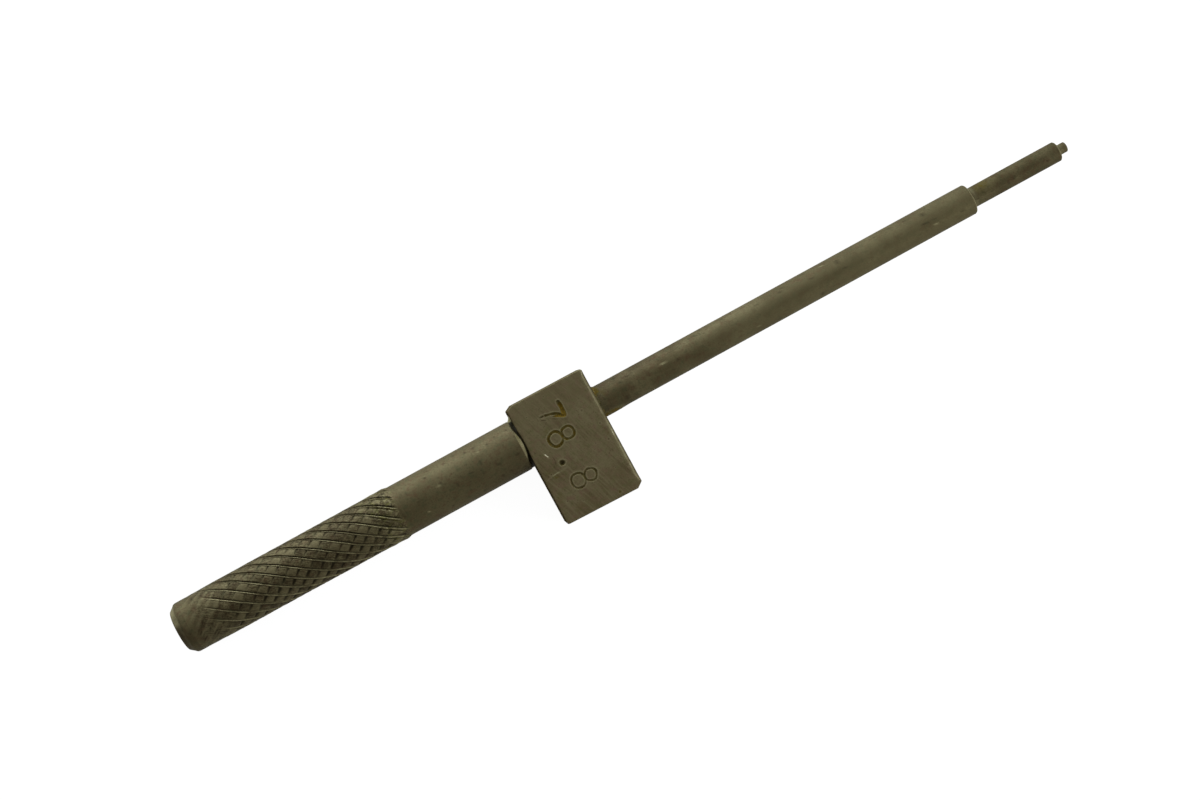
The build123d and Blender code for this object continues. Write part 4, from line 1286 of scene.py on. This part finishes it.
def steel(name, base, light, dark, warm, green, dirt_and_shade_col, wear_and_highlight_col, bare_and_highlight_col, grind=None, metallic=0.30, rough=0.60, fine=1.0, gloss=0.0, grain=0.45):
    m = Nodes(name)
    own = m.attr("own", "Vector")
    flow = m.attr("flow", "Vector")
    cavity, rust, worn, tone = (m.attr(a) for a in ATTRS)
    # broad clouds, patches and specks of the old oxide, browner here and greener there
    clouds = m.noise(own, 0.16, 4, 0.55)
    patches = m.noise(own, 0.75, 5, 0.6, 0.3)
    hues = m.noise(m.vmul(own, (0.8, 1.0, 1.0)), 1.15, 4, 0.6, 0.2)
    specks = m.noise(own, 3.4, 4, 0.62)
    grit = m.noise(own, 11.0, 3, 0.6)
    broad = m.ramp(clouds, 0.38, 0.64, 0.10, 0.80)
    patched = m.ramp(patches, 0.50, 0.70, 0, 0.72)
    if not grind:
        # the oxide is calmer on the plain grip
        along = m.node("ShaderNodeSeparateXYZ")
        m.link(own, along.inputs[0])
        calm = m.math("MULTIPLY", m.ramp(along.outputs[0], 43.5, 46.5), m.ramp(along.outputs[0], 71.0, 69.0))
        broad = m.math("ADD", m.math("MULTIPLY", broad, m.math("SUBTRACT", 1.0, m.math("MULTIPLY", calm, 0.65))), m.math("MULTIPLY", calm, 0.27))
        patched = m.math("MULTIPLY", patched, m.math("SUBTRACT", 1.0, m.math("MULTIPLY", calm, 0.35)))
    col = m.mix(broad, base, light)
    col = m.mix(patched, col, warm)
    col = m.mix(m.ramp(hues, 0.50, 0.32, 0, 0.66), col, green)
    col = m.mix(m.ramp(hues, 0.54, 0.70, 0, 0.60), col, warm)
    col = m.mix(m.ramp(specks, 0.54, 0.74, 0, grain), col, dark)
    col = m.mix(m.ramp(specks, 0.45, 0.27, 0, grain * 0.78), col, light)
    if grind:
        lines = m.noise(m.rotated(own, grind, (10.0, 0.75, 1.0)), 1.0, 3, 0.62)
        lines2 = m.noise(m.rotated(own, grind - 8, (6.0, 0.30, 1.0)), 1.0, 3, 0.6)
        both = m.math("ADD", m.math("MULTIPLY", lines, 0.52), m.math("MULTIPLY", lines2, 0.48))
        col = m.mix(m.ramp(both, 0.49, 0.34, 0, 0.38), col, dark)
        col = m.mix(m.ramp(both, 0.50, 0.64, 0, 0.66), col, light)
    else:
        turning = m.noise(m.vmul(own, (5.5, 0.22, 0.22)), 1.0, 4, 0.7)
        drawn = m.noise(m.vmul(own, (0.25, 2.2, 2.2)), 1.0, 4, 0.65)
        both = m.math("ADD", m.math("MULTIPLY", turning, 0.55), m.math("MULTIPLY", drawn, 0.45))
        col = m.mix(m.ramp(both, 0.47, 0.33, 0, 0.30), col, dark)
        col = m.mix(m.ramp(both, 0.53, 0.67, 0, 0.30), col, light)
        # the pads between the knurl's grooves are streaked along the grooves
        streak = m.noise(m.vmul(flow, (6.5, 1.5, 0.0)), 1.0, 3, 0.65)
        where = m.node("ShaderNodeSeparateXYZ")
        m.link(flow, where.inputs[0])
        mask = m.math("MAXIMUM", where.outputs[2], 0.0)
        col = m.mix(m.math("MULTIPLY", m.ramp(streak, 0.50, 0.36, 0, 0.85), mask), col, dark)
        col = m.mix(m.math("MULTIPLY", m.ramp(streak, 0.50, 0.64, 0, 0.95), mask), col, light)
        col = m.mix(m.math("MULTIPLY", m.ramp(specks, 0.48, 0.62, 0, 0.60), mask), col, dark)
        col = m.mix(m.math("MULTIPLY", m.ramp(specks, 0.46, 0.34, 0, 0.60), mask), col, light)
        # where the roll only touched, before it bit: fine slanting strokes
        spot = m.node("ShaderNodeSeparateXYZ")
        m.link(own, spot.inputs[0])
        x, y, z = spot.outputs
        window = m.math("MULTIPLY", m.ramp(x, 2.8, 3.8), m.ramp(x, 7.8, 5.4))
        window = m.math("MULTIPLY", window, m.math("MULTIPLY", m.ramp(y, 1.3, 0.2), m.ramp(y, -4.3, -3.3)))
        window = m.math("MULTIPLY", window, m.math("MULTIPLY", m.ramp(z, 0.8, 1.8), m.ramp(m.noise(own, 0.9, 3, 0.6), 0.42, 0.60, 0.0, 1.0)))
        teeth = m.math("SINE", m.math("MULTIPLY", where.outputs[1], TAU * 40 / 13))
        col = m.mix(m.math("MULTIPLY", m.ramp(teeth, -0.1, 0.75, 0, 0.62), window), col, dark)
        col = m.mix(m.math("MULTIPLY", m.ramp(teeth, -0.35, -0.95, 0, 0.50), window), col, light)
        # the last rows of the knurl are torn and crumbly
        torn = m.math("MULTIPLY", m.ramp(x, 35.5, 41.5), m.ramp(x, 45.0, 44.1))
    # The tone attribute lifts or lowers the colour: random tone together with painted shading.
    lighter = m.math("MULTIPLY", m.math("MAXIMUM", tone, 0.0), 0.62)
    darker = m.math("MULTIPLY", m.math("MAXIMUM", m.math("MULTIPLY", tone, -1.0), 0.0), 0.58)
    col = m.mix(lighter, col, light)
    col = m.mix(darker, col, dark)
    # Lighter for wear and for painted highlights. At full strength it becomes bare metal, which is also the painted
    # highlight on the block's bevel.
    wear_and_highlight_fac = m.math("MULTIPLY", worn, m.ramp(grit, 0.30, 0.62, 0.45, 1.0), clamp=True)
    col = m.mix(m.math("MULTIPLY", wear_and_highlight_fac, 0.90), col, wear_and_highlight_col)
    col = m.mix(m.ramp(worn, 0.94, 1.0), col, bare_and_highlight_col)
    # Darker for dirt and for painted shade.
    darkening = m.math("MULTIPLY", cavity, m.ramp(grit, 0.70, 0.30, 0.80, 1.0), clamp=True)
    col = m.mix(m.math("MULTIPLY", darkening, 0.92), col, dirt_and_shade_col)
    if not grind:
        crumbs = m.noise(own, 4.2, 4, 0.72, 0.4)
        col = m.mix(m.math("MULTIPLY", m.ramp(crumbs, 0.53, 0.66, 0, 0.60), torn), col, rgb(34, 29, 16))
        col = m.mix(m.math("MULTIPLY", m.ramp(crumbs, 0.47, 0.36, 0, 0.50), torn), col, rgb(112, 107, 74))
        col = m.mix(m.math("MULTIPLY", m.ramp(hues, 0.46, 0.34, 0, 0.35), torn), col, rgb(84, 82, 36))
    col, stained = stain(m, col, rust, own)
    m.put(m.bsdf.inputs["Base Color"], col)
    dull = m.math("MAXIMUM", darkening, stained)
    met = m.math("MULTIPLY", m.math("SUBTRACT", 1.0, m.math("MULTIPLY", dull, 0.9)), metallic, clamp=True)
    m.put(m.bsdf.inputs["Metallic"], met)
    rgh = m.math("ADD", m.ramp(both, 0.3, 0.7, rough - 0.05, rough + 0.07), m.math("MULTIPLY", m.math("SUBTRACT", specks, 0.5), 0.25))
    rgh = m.math("ADD", rgh, m.math("MULTIPLY", dull, 0.25), clamp=True)
    m.put(m.bsdf.inputs["Roughness"], m.math("MINIMUM", rgh, 0.95))
    m.bsdf.inputs["Specular IOR Level"].default_value = gloss
    m.bsdf.inputs["Specular Tint"].default_value = (0.30, 0.30, 0.29, 1)
    n1 = m.bump(both, 0.30 * fine, 0.00006)
    n2 = m.bump(m.noise(own, 5.5, 5, 0.65), 0.40 * fine, 0.00005, n1)
    m.put(m.bsdf.inputs["Normal"], n2)
    return m.mat


def braze_material():
    m = Nodes("braze_oxidised")
    own = m.attr("own", "Vector")
    cavity, rust, worn, tone = (m.attr(a) for a in ATTRS)
    n = m.noise(own, 1.6, 5, 0.65, 0.4)
    g = m.noise(own, 7.0, 3, 0.6)
    col = m.mix(m.ramp(n, 0.36, 0.66), rgb(74, 68, 42), rgb(100, 95, 66))
    col = m.mix(m.math("MULTIPLY", worn, m.ramp(g, 0.35, 0.6, 0.3, 1.0), clamp=True), col, rgb(126, 122, 90))
    col = m.mix(m.math("MULTIPLY", cavity, 0.95, clamp=True), col, rgb(13, 11, 6))
    col, stained = stain(m, col, rust, own)
    m.put(m.bsdf.inputs["Base Color"], col)
    m.put(m.bsdf.inputs["Metallic"], m.math("MULTIPLY", m.math("SUBTRACT", 1.0, m.math("MAXIMUM", cavity, stained)), 0.35, clamp=True))
    m.put(m.bsdf.inputs["Roughness"], m.ramp(g, 0.3, 0.7, 0.46, 0.68))
    m.bsdf.inputs["Specular IOR Level"].default_value = 0.06
    m.bsdf.inputs["Specular Tint"].default_value = (0.25, 0.25, 0.25, 1)
    m.put(m.bsdf.inputs["Normal"], m.bump(g, 0.5, 0.00008))
    return m.mat


spindle_mat = steel("oxidised_turned_steel", rgb(62, 55, 36), rgb(83, 77, 54), rgb(38, 31, 18), rgb(65, 50, 34), rgb(59, 59, 39),
                    rgb(16, 13, 7), rgb(134, 128, 96), rgb(138, 132, 102), gloss=0.07)
block_mat = steel("oxidised_ground_steel", rgb(75, 66, 45), rgb(91, 84, 61), rgb(55, 47, 28), rgb(86, 69, 54), rgb(74, 72, 45),
                  rgb(34, 29, 10), rgb(124, 119, 92), rgb(190, 186, 160), grind=-66, grain=0.70)
braze_mat = braze_material()

pieces = []
spindle = make_spindle()
spindle.data.materials.append(spindle_mat)
pieces.append((spindle, "spindle", "spindle_steel"))
block = make_block()
block.data.materials.append(block_mat)
pieces.append((block, "gauge_block", "block_steel"))
for obj, node in make_beads():
    obj.data.materials.append(braze_mat)
    pieces.append((obj, node, "braze"))
for obj, node, slot in pieces:
    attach(obj, "root")
    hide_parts(node)

# ---------------------------------------------------------------------------
# Stage, light and camera
# ---------------------------------------------------------------------------
mesh = bpy.data.meshes.new("floor")
z = -0.00016
mesh.from_pydata([(-2, -2, z), (2, -2, z), (2, 2, z), (-2, 2, z)], [], [(0, 1, 2, 3)])
floor = bpy.data.objects.new("floor", mesh)
bpy.context.scene.collection.objects.link(floor)
fl = Nodes("pale_floor")
fl.bsdf.inputs["Base Color"].default_value = (0.10, 0.10, 0.10, 1)
fl.bsdf.inputs["Roughness"].default_value = 0.9
fl.bsdf.inputs["Specular IOR Level"].default_value = 0.0
fl.bsdf.inputs["Emission Color"].default_value = (1, 1, 1, 1)
fl.bsdf.inputs["Emission Strength"].default_value = 0.945
floor.data.materials.append(fl.mat)

world = bpy.data.worlds.new("studio")
world.use_nodes = True
background = world.node_tree.nodes.get("Background") or world.node_tree.nodes.new("ShaderNodeBackground")
background.inputs["Color"].default_value = (1, 1, 1, 1)
background.inputs["Strength"].default_value = 0.63
bpy.context.scene.world = world


def area(name, at, size, watts, colour=(1, 1, 1), aim=(0, 0, 0)):
    light = bpy.data.lights.new(name, "AREA")
    light.shape = "DISK"
    light.size = size
    light.energy = watts
    light.color = colour
    obj = bpy.data.objects.new(name, light)
    obj.location = at
    obj.rotation_euler = (Vector(aim) - Vector(at)).to_track_quat("-Z", "Y").to_euler()
    bpy.context.scene.collection.objects.link(obj)
    return obj


area("key", (-0.020, 0.2978, 0.0414), 0.14, 2.25, (0.83, 0.895, 1.0), (-0.020, 0.0, 0.005))
area("end_light", (2.90, 0.20, 0.62), 1.20, 26.0, (0.92, 0.97, 1.0))
area("tip_fill", (0.164, -0.128, 0.120), 0.12, 0.26, (0.95, 0.98, 1.0))

cam = bpy.data.cameras.new("camera")
cam.lens = 57.0
cam.sensor_width = 36.0
cam.sensor_fit = "HORIZONTAL"
cam.clip_start = 0.01
cam_obj = bpy.data.objects.new("camera", cam)
right, up, ahead = Vector((0.8743, -0.4802, 0.0703)), Vector((0.4787, 0.8771, 0.0385)), Vector((0.0802, 0, -0.9968))
ahead.normalize()
right = (right - ahead * right.dot(ahead)).normalized()
up = right.cross(ahead)
rot = Matrix((right, up, -ahead)).transposed()
cam_obj.matrix_world = Matrix.Translation((-0.034325, 0.005137, 0.349080)) @ rot.to_4x4()
bpy.context.scene.collection.objects.link(cam_obj)
bpy.context.scene.camera = cam_obj

scene = bpy.context.scene
scene.view_settings.view_transform = "Standard"
scene.view_settings.look = "None"
scene.view_settings.exposure = 0.0
scene.view_settings.gamma = 1.0
